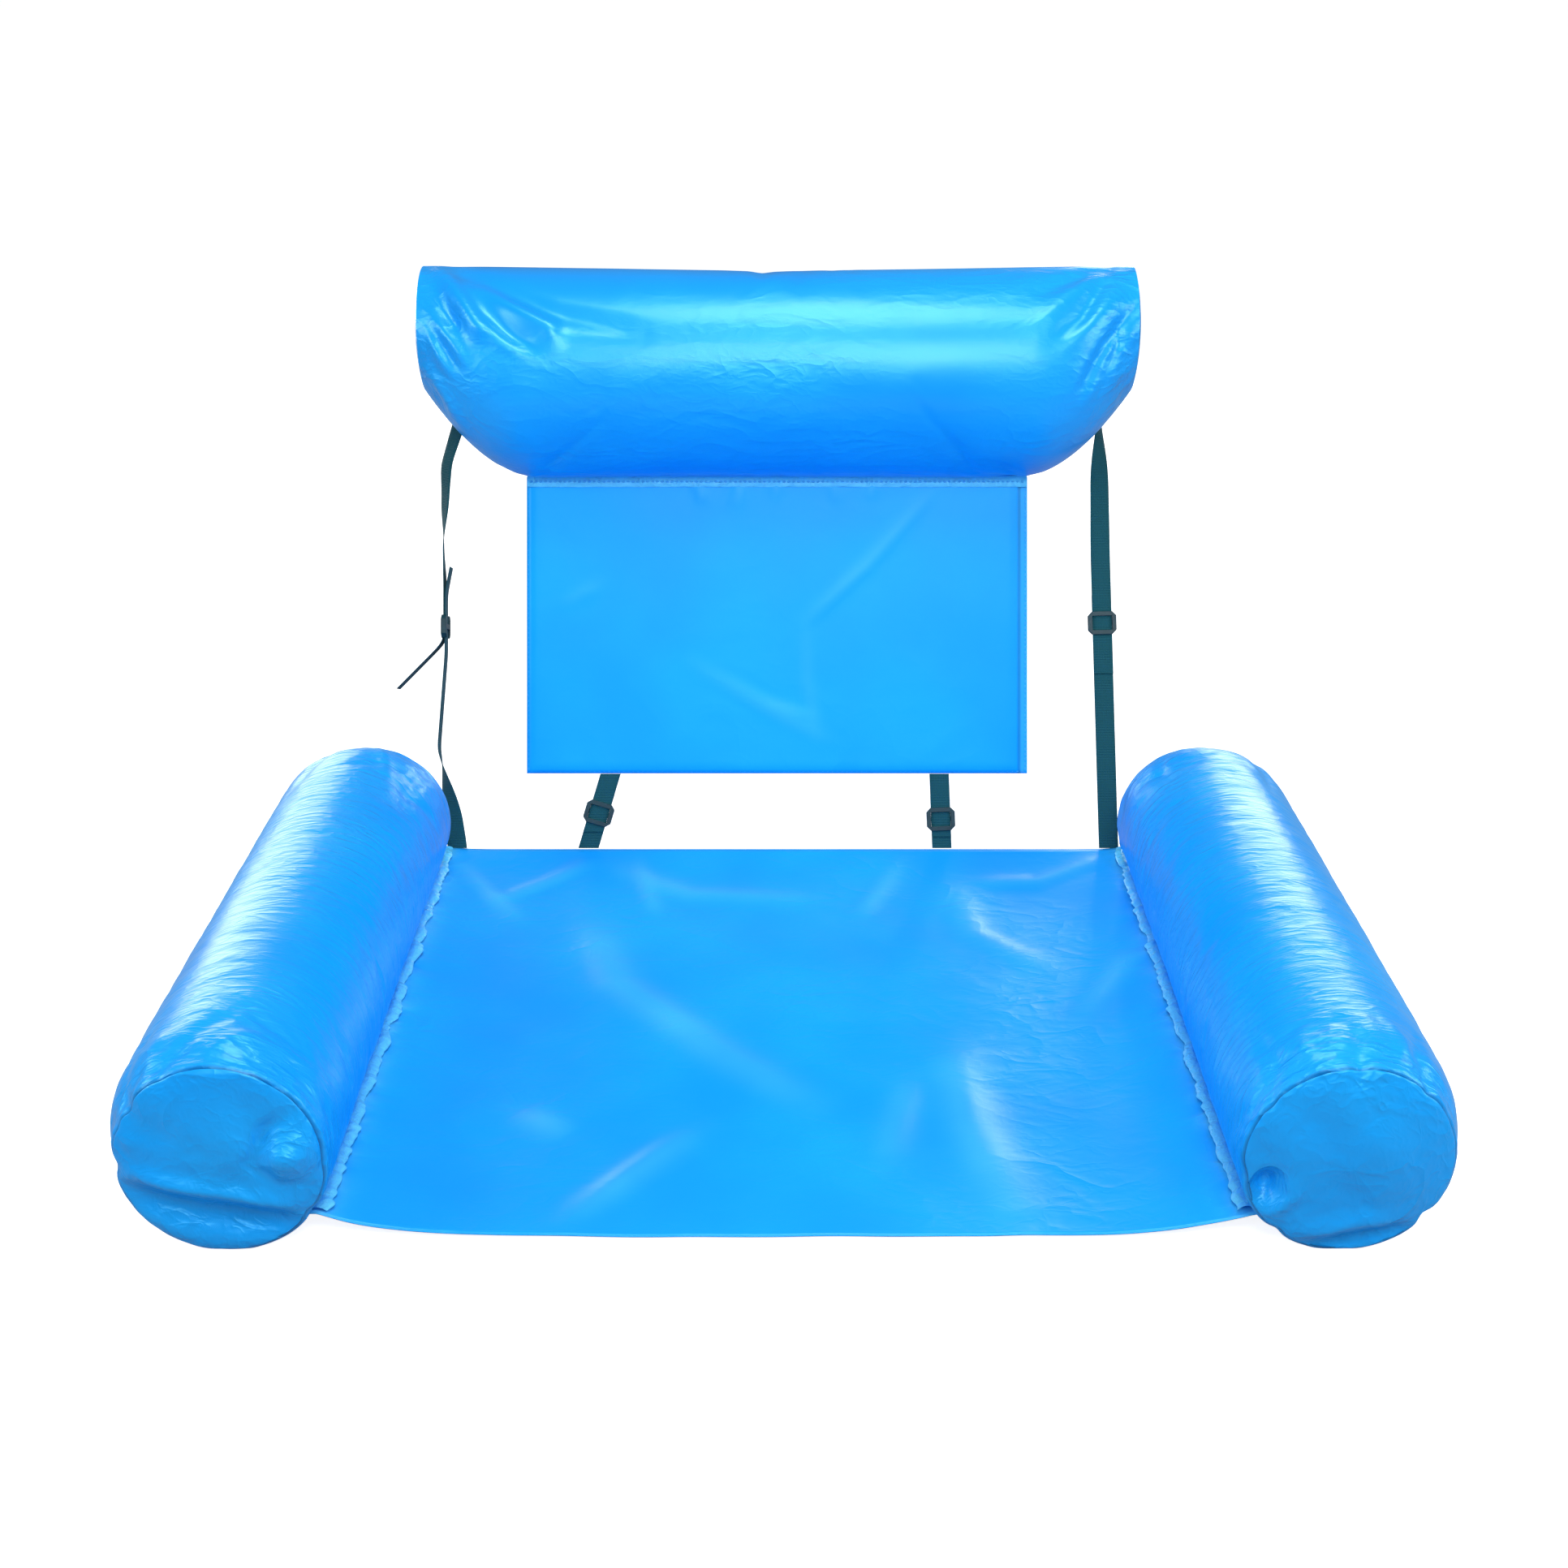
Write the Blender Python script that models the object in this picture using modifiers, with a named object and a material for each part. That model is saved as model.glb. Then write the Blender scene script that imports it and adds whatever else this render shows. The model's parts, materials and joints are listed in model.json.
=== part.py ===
# Inflatable water hammock: a fabric seat slung between two inflated armrests, with a padded
# back panel and an inflated headrest that straps hold up from the rear edge of the seat.
# Metres, +Z up, the sitter faces -Y. The origin is on the floor under the middle of the object.
import math

import bmesh
import bpy
from mathutils import Matrix, Vector

# Cloth, film and fits
COVER_THICKNESS = 0.0008
BLADDER_THICKNESS = 0.0004
SEWN_GAP = 0.0003
MERGE_DISTANCE = 0.000001
CUT_OVERRUN = 0.004
SMOOTH_BELOW_ANGLE = math.radians(40)

# Seat panel
SEAT_WIDTH = 0.712
SEAT_DEPTH = 0.670
SEAT_CENTRE_Y = -0.114
SEAT_LOWEST = 0.0012
SEAT_SAG_LENGTH = 0.050
SEAT_FOLD_HEIGHT = 0.0022
SEAT_SAG_POWER = 6
SEAT_FOLDS_ACROSS = (9, 6)
SEAT_FOLDS_DEEP = (7, 5)
SEAT_COLUMNS = 22
SEAT_ROWS = 16

# Armrests
ARMREST_RADIUS = 0.084
ARMREST_FRONT_REACH = 0.016
ARMREST_REAR_GAP = 0.045
ARMREST_TAPER_SHARE = 0.03
ARMREST_FLAT_CUT = 0.0005
ARMREST_COLUMNS = 28
ARMREST_ROWS = 10
SEAM_ANGLE = math.radians(-135)
SEAM_CLEAR_ANGLE = math.radians(35)
RING_DRAW_IN = 0.0045
RING_DRAW_LENGTH = 0.022
PLEAT_HEIGHT = 0.0013
PLEAT_LENGTH = 0.035
PLEATS_AROUND = 7
CAP_DOME = 0.012
CAP_ROWS = 7
REAR_CAP_DOME = 0.008
END_CAP_ROWS = 3
CAP_FOLD_DEPTH = 0.009
CAP_FOLD_WIDTH = 0.016
CAP_FOLD_DROP = 0.034
CAP_FOLD_SLOPE = math.radians(15)
CAP_DENT_DEPTH = 0.009
CAP_DENT_RADIUS = 0.019
CAP_DENT_INWARD = 0.054
CAP_DENT_DROP = 0.020
ARMREST_BLADDER_INSET = 0.007
BLADDER_COLUMNS = 14
BLADDER_ROWS = 8
BLADDER_ROUND_SHARE = 0.4

# Backrest, in its own frame: the hinge line is its origin, +Z runs up the panel, +Y is its back
RECLINE = math.radians(22)
HINGE_LIFT = 0.0009
PANEL_WIDTH = 0.515
PANEL_SHIFT = -0.0072
PANEL_BOTTOM = 0.077
PANEL_THICKNESS = 0.0062
PANEL_EDGE_THICKNESS = 0.0022
PANEL_EDGE_WIDTH = 0.008
PANEL_WALL = 0.0007
PANEL_MOUTH_WIDTH = 0.236
PANEL_MOUTH_THICKNESS = 0.0009
PANEL_HEM = 0.011
STIFFENER_CORNER = 0.006
HEADREST_WIDTH = 0.7185
HEADREST_SHIFT = -0.006
HEADREST_TOP = 0.593
HEADREST_HEIGHT = 0.213
HEADREST_END_HEIGHT = 0.126
HEADREST_DEPTH = 0.175
HEADREST_END_DEPTH = 0.120
HEADREST_FORWARD = 0.020
HEADREST_SEAM_GAP = 0.0008
HEADREST_STRAIGHT_HALF = 0.250
HEADREST_DRAW_POWER = 1.8
HEADREST_FOLD_HEIGHT = 0.0030
HEADREST_FOLD_LENGTH = 0.055
HEADREST_FOLDS_AROUND = 7
HEADREST_FOLD_SPACING = 0.157
HEADREST_COLUMNS = 28
HEADREST_ROWS = 14
HEADREST_CAP_DOME = 0.007
HEADREST_BLADDER_INSET = 0.008

# Webbing and slider buckles
WEBBING_WIDTH = 0.020
WEBBING_THICKNESS = 0.0010
LAYER_GAP = 0.0003
WEBBING_LEAD_IN = 0.009
WEBBING_STEP = 0.022
STRAP_TOP_CLEARANCE = 0.0022
LOWER_STRAP_REACH = 0.090
LEFT_STRAP_FOOT_SHARE = 0.7546
LEFT_STRAP_TOP_SHARE = 0.6501
RIGHT_STRAP_FOOT_SHARE = 0.6598
RIGHT_STRAP_TOP_SHARE = 0.6462
BUCKLE_WIDTH = 0.029
BUCKLE_HEIGHT = 0.024
BUCKLE_CORNER = 0.0045
BUCKLE_OUTER_BAR = 0.0045
BUCKLE_CENTRE_BAR = 0.0050
BUCKLE_BAR_DEPTH = 0.0015
BUCKLE_EDGE_ROUND = 0.0005

# Corner loops
LOOP_HEIGHT = 0.019
LOOP_WIDTH = 0.010
LOOP_LENGTH = 0.012
LOOP_CLOTH = 0.0011
LOOP_STEPS = 14

# Valves: a soft flange on the bladder, a neck through the cover and a push-in plug
VALVE_FLANGE_RADIUS = 0.014
VALVE_FLANGE_THICKNESS = 0.0010
VALVE_STEM_RADIUS = 0.0048
VALVE_STEM_LENGTH = 0.009
VALVE_NECK_RADIUS = 0.0062
VALVE_NECK_PROUD = 0.0035
VALVE_LIP_RADIUS = 0.0074
VALVE_LIP_THICKNESS = 0.0012
VALVE_BORE_RADIUS = 0.0034
PLUG_HEAD_RADIUS = 0.0080
PLUG_HEAD_THICKNESS = 0.0022
PLUG_GRIP_RADIUS = 0.0032
PLUG_GRIP_HEIGHT = 0.0035
PLUG_SHAFT_LENGTH = 0.0080
PLUG_TIP_TAPER = 0.0007
HEADREST_VALVE_X = 0.110
TURNED_STEPS = 16

# Values that follow from the ones above
HALF_FACET = math.pi / ARMREST_COLUMNS
SEAM_X = SEAT_WIDTH / 2
SEAT_REAR_Y = SEAT_CENTRE_Y + SEAT_DEPTH / 2
SEAT_FRONT_Y = SEAT_CENTRE_Y - SEAT_DEPTH / 2
ARMREST_FRONT_Y = SEAT_FRONT_Y - ARMREST_FRONT_REACH
ARMREST_REAR_Y = SEAT_REAR_Y - ARMREST_REAR_GAP
ARMREST_LENGTH = ARMREST_REAR_Y - ARMREST_FRONT_Y
ARMREST_FOLD_HEIGHT = ARMREST_RADIUS * (math.cos(HALF_FACET) + math.sin(SEAM_ANGLE)) - ARMREST_FLAT_CUT
LAYER_OFFSET = (WEBBING_THICKNESS + LAYER_GAP) / 2

collection = None


def start_scene():
    """Empty the scene and make one collection for the parts and one for the cutters."""
    global collection
    for item in list(bpy.data.objects):
        bpy.data.objects.remove(item, do_unlink=True)
    collection = bpy.data.collections.new("inflatable_water_hammock")
    bpy.context.scene.collection.children.link(collection)
    cutters = bpy.data.collections.new("cutters")
    bpy.context.scene.collection.children.link(cutters)
    return cutters


def plain_material(name, colour, roughness, metallic=0.0):
    """A Principled material with the part's colour from the photo."""
    material = bpy.data.materials.new(name)
    material.use_nodes = True
    shader = material.node_tree.nodes["Principled BSDF"]
    shader.inputs["Base Color"].default_value = (*colour, 1.0)
    shader.inputs["Roughness"].default_value = roughness
    shader.inputs["Metallic"].default_value = metallic
    material.diffuse_color = (*colour, 1.0)
    return material


def add_part(name, mesh, look, parent=None, matrix=None):
    """Put a mesh in the scene as one named part with a material of its own."""
    part = bpy.data.objects.new(name, mesh)
    collection.objects.link(part)
    mesh.materials.clear()
    mesh.materials.append(plain_material(name + "_" + look["name"], look["colour"], look["roughness"]))
    part.parent = parent
    if matrix is not None:
        part.matrix_basis = matrix
    mesh.shade_smooth()
    mesh.set_sharp_from_angle(angle=SMOOTH_BELOW_ANGLE)
    return part


def add_pivot(name, location, lean=0.0, parent=None):
    """An empty on a joint's axis, which carries the pieces that move about it."""
    pivot = bpy.data.objects.new(name, None)
    collection.objects.link(pivot)
    pivot.parent = parent
    pivot.location = location
    pivot.rotation_euler = (lean, 0, 0)
    return pivot


def wrapped_mesh(name, columns, rows, place):
    """Bend a flat grid into a surface: place(u, v) gives the point for u and v from 0 to 1."""
    bm = bmesh.new()
    bmesh.ops.create_grid(bm, x_segments=columns, y_segments=rows, size=0.5)
    for vert in bm.verts:
        u = round((vert.co.x + 0.5) * columns) / columns
        v = round((vert.co.y + 0.5) * rows) / rows
        vert.co = place(u, v)
    bmesh.ops.remove_doubles(bm, verts=bm.verts, dist=MERGE_DISTANCE)
    bmesh.ops.dissolve_degenerate(bm, edges=bm.edges, dist=MERGE_DISTANCE)
    mesh = bpy.data.meshes.new(name)
    bm.to_mesh(mesh)
    bm.free()
    return mesh


def give_thickness(part, thickness, offset):
    """Turn an open cloth surface into a solid sheet: offset 0 is centred, -1 goes inward."""
    solidify = part.modifiers.new("Thickness", "SOLIDIFY")
    solidify.thickness = thickness
    solidify.offset = offset
    solidify.use_even_offset = False
    return solidify


def cut_with(part, cutter):
    """Cut a part with an exact Boolean and keep the cutter as a wire guide."""
    cutter.hide_render = True
    cutter.display_type = "WIRE"
    boolean = part.modifiers.new("Cut", "BOOLEAN")
    boolean.operation = "DIFFERENCE"
    boolean.solver = "EXACT"
    boolean.object = cutter


def box_cutter(name, low, high, parent, matrix, cutters):
    """A box between two corners, in the frame of the part that it cuts."""
    bm = bmesh.new()
    bmesh.ops.create_cube(bm, size=1.0)
    size = Vector(high) - Vector(low)
    middle = (Vector(high) + Vector(low)) / 2
    for vert in bm.verts:
        vert.co = Vector(a * b for a, b in zip(vert.co, size)) + middle
    mesh = bpy.data.meshes.new(name)
    bm.to_mesh(mesh)
    bm.free()
    cutter = bpy.data.objects.new(name, mesh)
    cutters.objects.link(cutter)
    cutter.parent = parent
    cutter.matrix_basis = matrix
    return cutter


def round_cutter(name, radius, length, parent, matrix, cutters):
    """A cylinder along local +Z, centred on its origin."""
    bm = bmesh.new()
    bmesh.ops.create_cone(
        bm, cap_ends=True, segments=TURNED_STEPS, radius1=radius, radius2=radius, depth=length
    )
    mesh = bpy.data.meshes.new(name)
    bm.to_mesh(mesh)
    bm.free()
    cutter = bpy.data.objects.new(name, mesh)
    cutters.objects.link(cutter)
    cutter.parent = parent
    cutter.matrix_basis = matrix
    return cutter


def turned_part(name, profile, look, parent, matrix):
    """A closed outline of (radius, height) pairs turned about local Z with a Screw."""
    bm = bmesh.new()
    verts = [bm.verts.new((radius, 0, height)) for radius, height in profile]
    for first, second in zip(verts, verts[1:] + verts[:1]):
        bm.edges.new((first, second))
    mesh = bpy.data.meshes.new(name)
    bm.to_mesh(mesh)
    bm.free()
    part = add_part(name, mesh, look, parent, matrix)
    screw = part.modifiers.new("Turn", "SCREW")
    screw.steps = TURNED_STEPS
    screw.render_steps = TURNED_STEPS
    screw.use_merge_vertices = True
    screw.merge_threshold = MERGE_DISTANCE
    screw.use_smooth_shade = True
    return part


FABRIC = {"name": "blue_nylon", "colour": (0.011, 0.376, 1.0), "roughness": 0.34}
FILM = {"name": "clear_film", "colour": (0.62, 0.72, 0.78), "roughness": 0.3}
WEBBING = {"name": "dark_webbing", "colour": (0.003, 0.075, 0.105), "roughness": 0.8}
PLASTIC = {"name": "dark_plastic", "colour": (0.002, 0.045, 0.07), "roughness": 0.4}
VALVE = {"name": "valve_plastic", "colour": (0.75, 0.82, 0.86), "roughness": 0.35}
FOAM = {"name": "white_foam", "colour": (0.85, 0.87, 0.88), "roughness": 0.9}


def fade(distance, length):
    """One at a seam, falling smoothly to nothing away from it."""
    return math.exp(-((distance / length) ** 2))


def armrest_radius(y):
    """The tube's radius: a slight taper to the rear, drawn in at both ring seams."""
    along = (y - ARMREST_FRONT_Y) / ARMREST_LENGTH
    to_ring = min(y - ARMREST_FRONT_Y, ARMREST_REAR_Y - y)
    taper = ARMREST_RADIUS * (1 - ARMREST_TAPER_SHARE * min(1, max(0, along)))
    return taper - RING_DRAW_IN * fade(max(0, to_ring), RING_DRAW_LENGTH)


def armrest_axis(y):
    """Distance of the tube's axis from the middle of the seat, and its height."""
    radius = armrest_radius(y)
    across = SEAM_X - radius * math.cos(SEAM_ANGLE)
    return across, radius * math.cos(HALF_FACET) - ARMREST_FLAT_CUT


def armrest_point(side, y, angle, share=1.0, inset=0.0):
    """A point of the sleeve, its angle measured from the outward side, on the given side."""
    across, height = armrest_axis(y)
    to_ring = min(y - ARMREST_FRONT_Y, ARMREST_REAR_Y - y)
    turn_to_seam = math.remainder(angle - SEAM_ANGLE, 2 * math.pi)
    clear_of_seam = 1 - fade(turn_to_seam, SEAM_CLEAR_ANGLE)
    pleat = PLEAT_HEIGHT * math.cos(PLEATS_AROUND * (angle - SEAM_ANGLE) + side)
    radius = armrest_radius(y) - inset + pleat * clear_of_seam * fade(to_ring, PLEAT_LENGTH)
    x = across + share * radius * math.cos(angle)
    z = max(0, height + share * radius * math.sin(angle))
    return Vector((side * x, y, z))


def ring_angle(side, u):
    """The angle of column u: the lowest facet lies flat on the floor."""
    turn = u if side > 0 else 1 - u
    return -math.pi / 2 + HALF_FACET + 2 * math.pi * turn


def armrest_sleeve(side, name, pivot):
    """The nylon tube, open at both ends, where the caps are sewn on."""

    def place(u, v):
        return armrest_point(side, ARMREST_REAR_Y - v * ARMREST_LENGTH, ring_angle(side, u))

    mesh = wrapped_mesh(name, ARMREST_COLUMNS, ARMREST_ROWS, place)
    part = add_part(name, mesh, FABRIC, pivot, pivot.matrix_basis.inverted())
    give_thickness(part, COVER_THICKNESS, -1)
    return part


def cap_relief(side, across, height):
    """The slack cloth of a front cap: a long fold on the left, a pressed dent on the right."""
    if side < 0:
        along_fold = -across * math.sin(CAP_FOLD_SLOPE) + (height + CAP_FOLD_DROP) * math.cos(CAP_FOLD_SLOPE)
        return CAP_FOLD_DEPTH * fade(along_fold, CAP_FOLD_WIDTH)
    away = math.hypot(across + CAP_DENT_INWARD, height + CAP_DENT_DROP)
    return CAP_DENT_DEPTH * fade(away, CAP_DENT_RADIUS)


def armrest_cap(side, name, facing, dome, rows, pivot):
    """A round of cloth gathered to the ring seam; facing is -1 in front and +1 at the rear."""
    ring_y = ARMREST_FRONT_Y if facing < 0 else ARMREST_REAR_Y
    axis_x, axis_z = armrest_axis(ring_y)

    def place(u, v):
        share = math.cos(v * math.pi / 2)
        turn = u if facing < 0 else 1 - u
        point = armrest_point(side, ring_y, ring_angle(side, turn), share)
        crown = dome * (1 - share**2)
        if facing < 0:
            x, z = side * point.x - axis_x, point.z - axis_z
            crown -= cap_relief(side, x, z) * (1 - share**4)
        point.y += facing * (SEWN_GAP + crown)
        point.z = max(point.z, COVER_THICKNESS / 2)
        return point

    mesh = wrapped_mesh(name, ARMREST_COLUMNS, rows, place)
    part = add_part(name, mesh, FABRIC, pivot, pivot.matrix_basis.inverted())
    give_thickness(part, COVER_THICKNESS, 1)
    return part


def bladder_share(v):
    """Length and radius shares of a long round-ended bag, from one end (v=0) to the other."""
    angle = (v - 0.5) * math.pi
    length_share = math.copysign(abs(math.sin(angle)) ** BLADDER_ROUND_SHARE, angle)
    return length_share, max(0, math.cos(angle)) ** BLADDER_ROUND_SHARE


def valve_profile(reach):
    """The seat's outline: stem inside the bladder, flange on it, neck through the cover."""
    lip = reach + VALVE_LIP_THICKNESS
    flange = VALVE_FLANGE_THICKNESS
    return [
        (VALVE_BORE_RADIUS, lip),
        (VALVE_LIP_RADIUS, lip),
        (VALVE_LIP_RADIUS, reach),
        (VALVE_NECK_RADIUS, reach),
        (VALVE_NECK_RADIUS, flange),
        (VALVE_FLANGE_RADIUS, flange),
        (VALVE_FLANGE_RADIUS, 0),
        (VALVE_STEM_RADIUS, 0),
        (VALVE_STEM_RADIUS, -VALVE_STEM_LENGTH),
        (VALVE_BORE_RADIUS, -VALVE_STEM_LENGTH),
    ]


def plug_profile():
    """The plug's outline: grip, head and a shaft that fills the bore down to its tip."""
    shaft = VALVE_BORE_RADIUS - SEWN_GAP
    grip = PLUG_HEAD_THICKNESS + PLUG_GRIP_HEIGHT
    return [
        (0, grip),
        (PLUG_GRIP_RADIUS, grip),
        (PLUG_GRIP_RADIUS, PLUG_HEAD_THICKNESS),
        (PLUG_HEAD_RADIUS, PLUG_HEAD_THICKNESS),
        (PLUG_HEAD_RADIUS, 0),
        (shaft, 0),
        (shaft, -PLUG_SHAFT_LENGTH),
        (shaft - PLUG_TIP_TAPER, -PLUG_SHAFT_LENGTH - PLUG_TIP_TAPER),
        (0, -PLUG_SHAFT_LENGTH - PLUG_TIP_TAPER),
    ]


def fit_valve(name, base, reach, parent, bladder, cover, cutters):
    """Seat, plug and the holes for the seat in the bladder and the cover; it points along +Y."""
    matrix = base @ Matrix.Rotation(-math.pi / 2, 4, "X")
    turned_part(name + "_valve_seat", valve_profile(reach), VALVE, parent, matrix)
    top = reach + VALVE_LIP_THICKNESS + SEWN_GAP
    plug_matrix = matrix @ Matrix.Translation((0, 0, top))
    turned_part(name + "_valve_plug", plug_profile(), VALVE, parent, plug_matrix)
    inner = round_cutter(
        name + "_bladder_hole",
        VALVE_STEM_RADIUS + SEWN_GAP,
        2 * CUT_OVERRUN,
        parent,
        matrix,
        cutters,
    )
    cut_with(bladder, inner)
    outer = round_cutter(
        name + "_cover_hole",
        VALVE_NECK_RADIUS + SEWN_GAP,
        2 * CUT_OVERRUN,
        parent,
        matrix @ Matrix.Translation((0, 0, reach - VALVE_NECK_PROUD)),
        cutters,
    )
    cut_with(cover, outer)


def armrest_bladder(side, name, pivot):
    """The air bag inside the sleeve, a long round-ended tube of film."""
    axis_x, axis_z = armrest_axis(ARMREST_REAR_Y)
    radius = armrest_radius(ARMREST_REAR_Y) - ARMREST_BLADDER_INSET
    half = ARMREST_LENGTH / 2
    middle = (ARMREST_FRONT_Y + ARMREST_REAR_Y) / 2

    def place(u, v):
        length_share, radius_share = bladder_share(v)
        angle = 2 * math.pi * u
        x = axis_x + radius * radius_share * math.cos(angle)
        z = axis_z + radius * radius_share * math.sin(angle)
        return Vector((side * x, middle - side * half * length_share, z))

    mesh = wrapped_mesh(name, BLADDER_COLUMNS, BLADDER_ROWS, place)
    part = add_part(name, mesh, FILM, pivot, pivot.matrix_basis.inverted())
    give_thickness(part, BLADDER_THICKNESS, -1)
    return part


def make_armrest(side, word, cutters):
    """Sleeve, two caps, bladder and valve of one armrest, carried by an empty on its seam."""
    pivot = add_pivot(word + "_armrest_hinge", (side * SEAM_X, SEAT_CENTRE_Y, ARMREST_FOLD_HEIGHT))
    to_pivot = pivot.matrix_basis.inverted()
    armrest_sleeve(side, word + "_armrest_sleeve", pivot)
    armrest_cap(side, word + "_armrest_front_cap", -1, CAP_DOME, CAP_ROWS, pivot)
    rear_cap = armrest_cap(side, word + "_armrest_rear_cap", 1, REAR_CAP_DOME, END_CAP_ROWS, pivot)
    bladder = armrest_bladder(side, word + "_armrest_bladder", pivot)
    axis_x, axis_z = armrest_axis(ARMREST_REAR_Y)
    base = to_pivot @ Matrix.Translation((side * axis_x, ARMREST_REAR_Y + SEWN_GAP, axis_z))
    reach = REAR_CAP_DOME + COVER_THICKNESS + VALVE_NECK_PROUD
    fit_valve(word + "_armrest", base, reach, pivot, bladder, rear_cap, cutters)


def seam_height(y):
    """Height of the seam line on the sleeve."""
    inside = min(max(y, ARMREST_FRONT_Y), ARMREST_REAR_Y)
    return armrest_axis(inside)[1] + armrest_radius(inside) * math.sin(SEAM_ANGLE)


def seat_height(across_share, y):
    """The sling's height: level at its rear edge, then sagging to the floor between the seams."""
    edge = seam_height(y) - (SEWN_GAP + COVER_THICKNESS / 2) * math.cos(math.pi / 4)
    into = SEAT_REAR_Y - y
    sag = 1 - math.exp(-into / SEAT_SAG_LENGTH)
    slack = 1 - abs(across_share) ** SEAT_SAG_POWER
    low = edge - (edge - SEAT_LOWEST) * slack * sag
    depth_share = into / SEAT_DEPTH
    across, deep = SEAT_FOLDS_ACROSS, SEAT_FOLDS_DEEP
    first = math.sin(across[0] * across_share + deep[0] * depth_share)
    second = math.sin(deep[1] * depth_share - across[1] * across_share)
    folds = first * second
    return low + SEAT_FOLD_HEIGHT * max(0, folds) * slack * sag


def seat_panel():
    """The single layer of nylon that is slung between the two sleeves."""
    inset = (SEWN_GAP + COVER_THICKNESS / 2) * math.cos(math.pi / 4)
    half = SEAM_X - inset

    def place(u, v):
        across_share = math.sin((u - 0.5) * math.pi)
        y = SEAT_FRONT_Y + v * SEAT_DEPTH
        return Vector((half * across_share, y, seat_height(across_share, y)))

    mesh = wrapped_mesh("seat_panel", SEAT_COLUMNS, SEAT_ROWS, place)
    part = add_part("seat_panel", mesh, FABRIC)
    give_thickness(part, COVER_THICKNESS, 0)
    return part


def corner_loop(name, x):
    """A loop of folded cloth that stands on the rear corner of the seat."""
    bottom = seat_height(1, SEAT_REAR_Y) + COVER_THICKNESS / 2 + SEWN_GAP
    outer = LOOP_HEIGHT / 2
    y = SEAT_REAR_Y - LOOP_LENGTH / 2

    def place(u, v):
        angle = 2 * math.pi * u
        half_width = LOOP_WIDTH / 2
        across = half_width * math.cos(angle)
        up = outer * (1 + math.sin(angle))
        return Vector((x + across, y + (v - 0.5) * LOOP_LENGTH, bottom + up))

    mesh = wrapped_mesh(name, LOOP_STEPS, 1, place)
    part = add_part(name, mesh, FABRIC)
    give_thickness(part, LOOP_CLOTH, 1)
    return part


def headrest_half_section(x):
    """Half height and half depth of the pillow at x: full in the middle, drawn in at the ends."""
    half_width = HEADREST_WIDTH / 2
    out = max(0, abs(x - HEADREST_SHIFT) - HEADREST_STRAIGHT_HALF)
    share = min(1, out / (half_width - HEADREST_STRAIGHT_HALF)) ** HEADREST_DRAW_POWER
    height = HEADREST_HEIGHT + (HEADREST_END_HEIGHT - HEADREST_HEIGHT) * share
    depth = HEADREST_DEPTH + (HEADREST_END_DEPTH - HEADREST_DEPTH) * share
    return height / 2, depth / 2


def pillow_underside(x, y):
    """Height of the pillow's underside above the hinge line, at one place on the backrest."""
    half_height, half_depth = headrest_half_section(x)
    share = min(1, abs(y + HEADREST_FORWARD) / half_depth)
    return HEADREST_TOP - half_height - half_height * math.sqrt(1 - share * share)


def panel_top():
    """Height of the panel's top edge: its seam lies just under the pillow."""
    return pillow_underside(0, 0) - HEADREST_SEAM_GAP


def headrest_point(x, angle, share=1.0, inset=0.0):
    """A point of the pillow: its top stays level while the ends draw up and in."""
    half_height, half_depth = headrest_half_section(x)
    to_end = HEADREST_WIDTH / 2 - abs(x - HEADREST_SHIFT)
    slant = 2 * math.pi * (x - HEADREST_SHIFT) / HEADREST_FOLD_SPACING
    crease = math.cos(HEADREST_FOLDS_AROUND * angle + slant) * fade(to_end, HEADREST_FOLD_LENGTH)
    swell = share * (1 + crease * HEADREST_FOLD_HEIGHT / half_height)
    middle = HEADREST_TOP - half_height
    y = -HEADREST_FORWARD + (half_depth - inset) * swell * math.cos(angle)
    z = middle + (half_height - inset) * swell * math.sin(angle)
    return Vector((x, y, z))


def headrest_sleeve(seam):
    """The nylon tube of the pillow, open at both ends."""
    half = HEADREST_WIDTH / 2

    def place(u, v):
        x = HEADREST_SHIFT + half * math.sin((v - 0.5) * math.pi)
        return headrest_point(x, 2 * math.pi * u)

    mesh = wrapped_mesh("headrest_sleeve", HEADREST_COLUMNS, HEADREST_ROWS, place)
    part = add_part("headrest_sleeve", mesh, FABRIC, seam, seam.matrix_basis.inverted())
    give_thickness(part, COVER_THICKNESS, -1)
    return part


def headrest_cap(side, name, seam):
    """A pleated round of cloth that closes one end of the pillow."""
    ring_x = HEADREST_SHIFT + side * HEADREST_WIDTH / 2

    def place(u, v):
        share = 1 - v
        turn = u if side > 0 else -u
        point = headrest_point(ring_x, 2 * math.pi * turn, share)
        point.x += side * (SEWN_GAP + HEADREST_CAP_DOME * (1 - share**2))
        return point

    mesh = wrapped_mesh(name, HEADREST_COLUMNS, END_CAP_ROWS, place)
    part = add_part(name, mesh, FABRIC, seam, seam.matrix_basis.inverted())
    give_thickness(part, COVER_THICKNESS, 1)
    return part


def headrest_bladder(seam):
    """The pillow's air bag."""
    half = HEADREST_WIDTH / 2 - HEADREST_BLADDER_INSET

    def place(u, v):
        length_share, radius_share = bladder_share(v)
        x = HEADREST_SHIFT + half * length_share
        half_height, half_depth = headrest_half_section(x)
        angle = 2 * math.pi * u
        y = -HEADREST_FORWARD + (half_depth - HEADREST_BLADDER_INSET) * radius_share * math.cos(angle)
        rise = (half_height - HEADREST_BLADDER_INSET) * radius_share * math.sin(angle)
        return Vector((x, y, HEADREST_TOP - half_height + rise))

    mesh = wrapped_mesh("headrest_bladder", BLADDER_COLUMNS, BLADDER_ROWS, place)
    part = add_part("headrest_bladder", mesh, FILM, seam, seam.matrix_basis.inverted())
    give_thickness(part, BLADDER_THICKNESS, -1)
    return part


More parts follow.
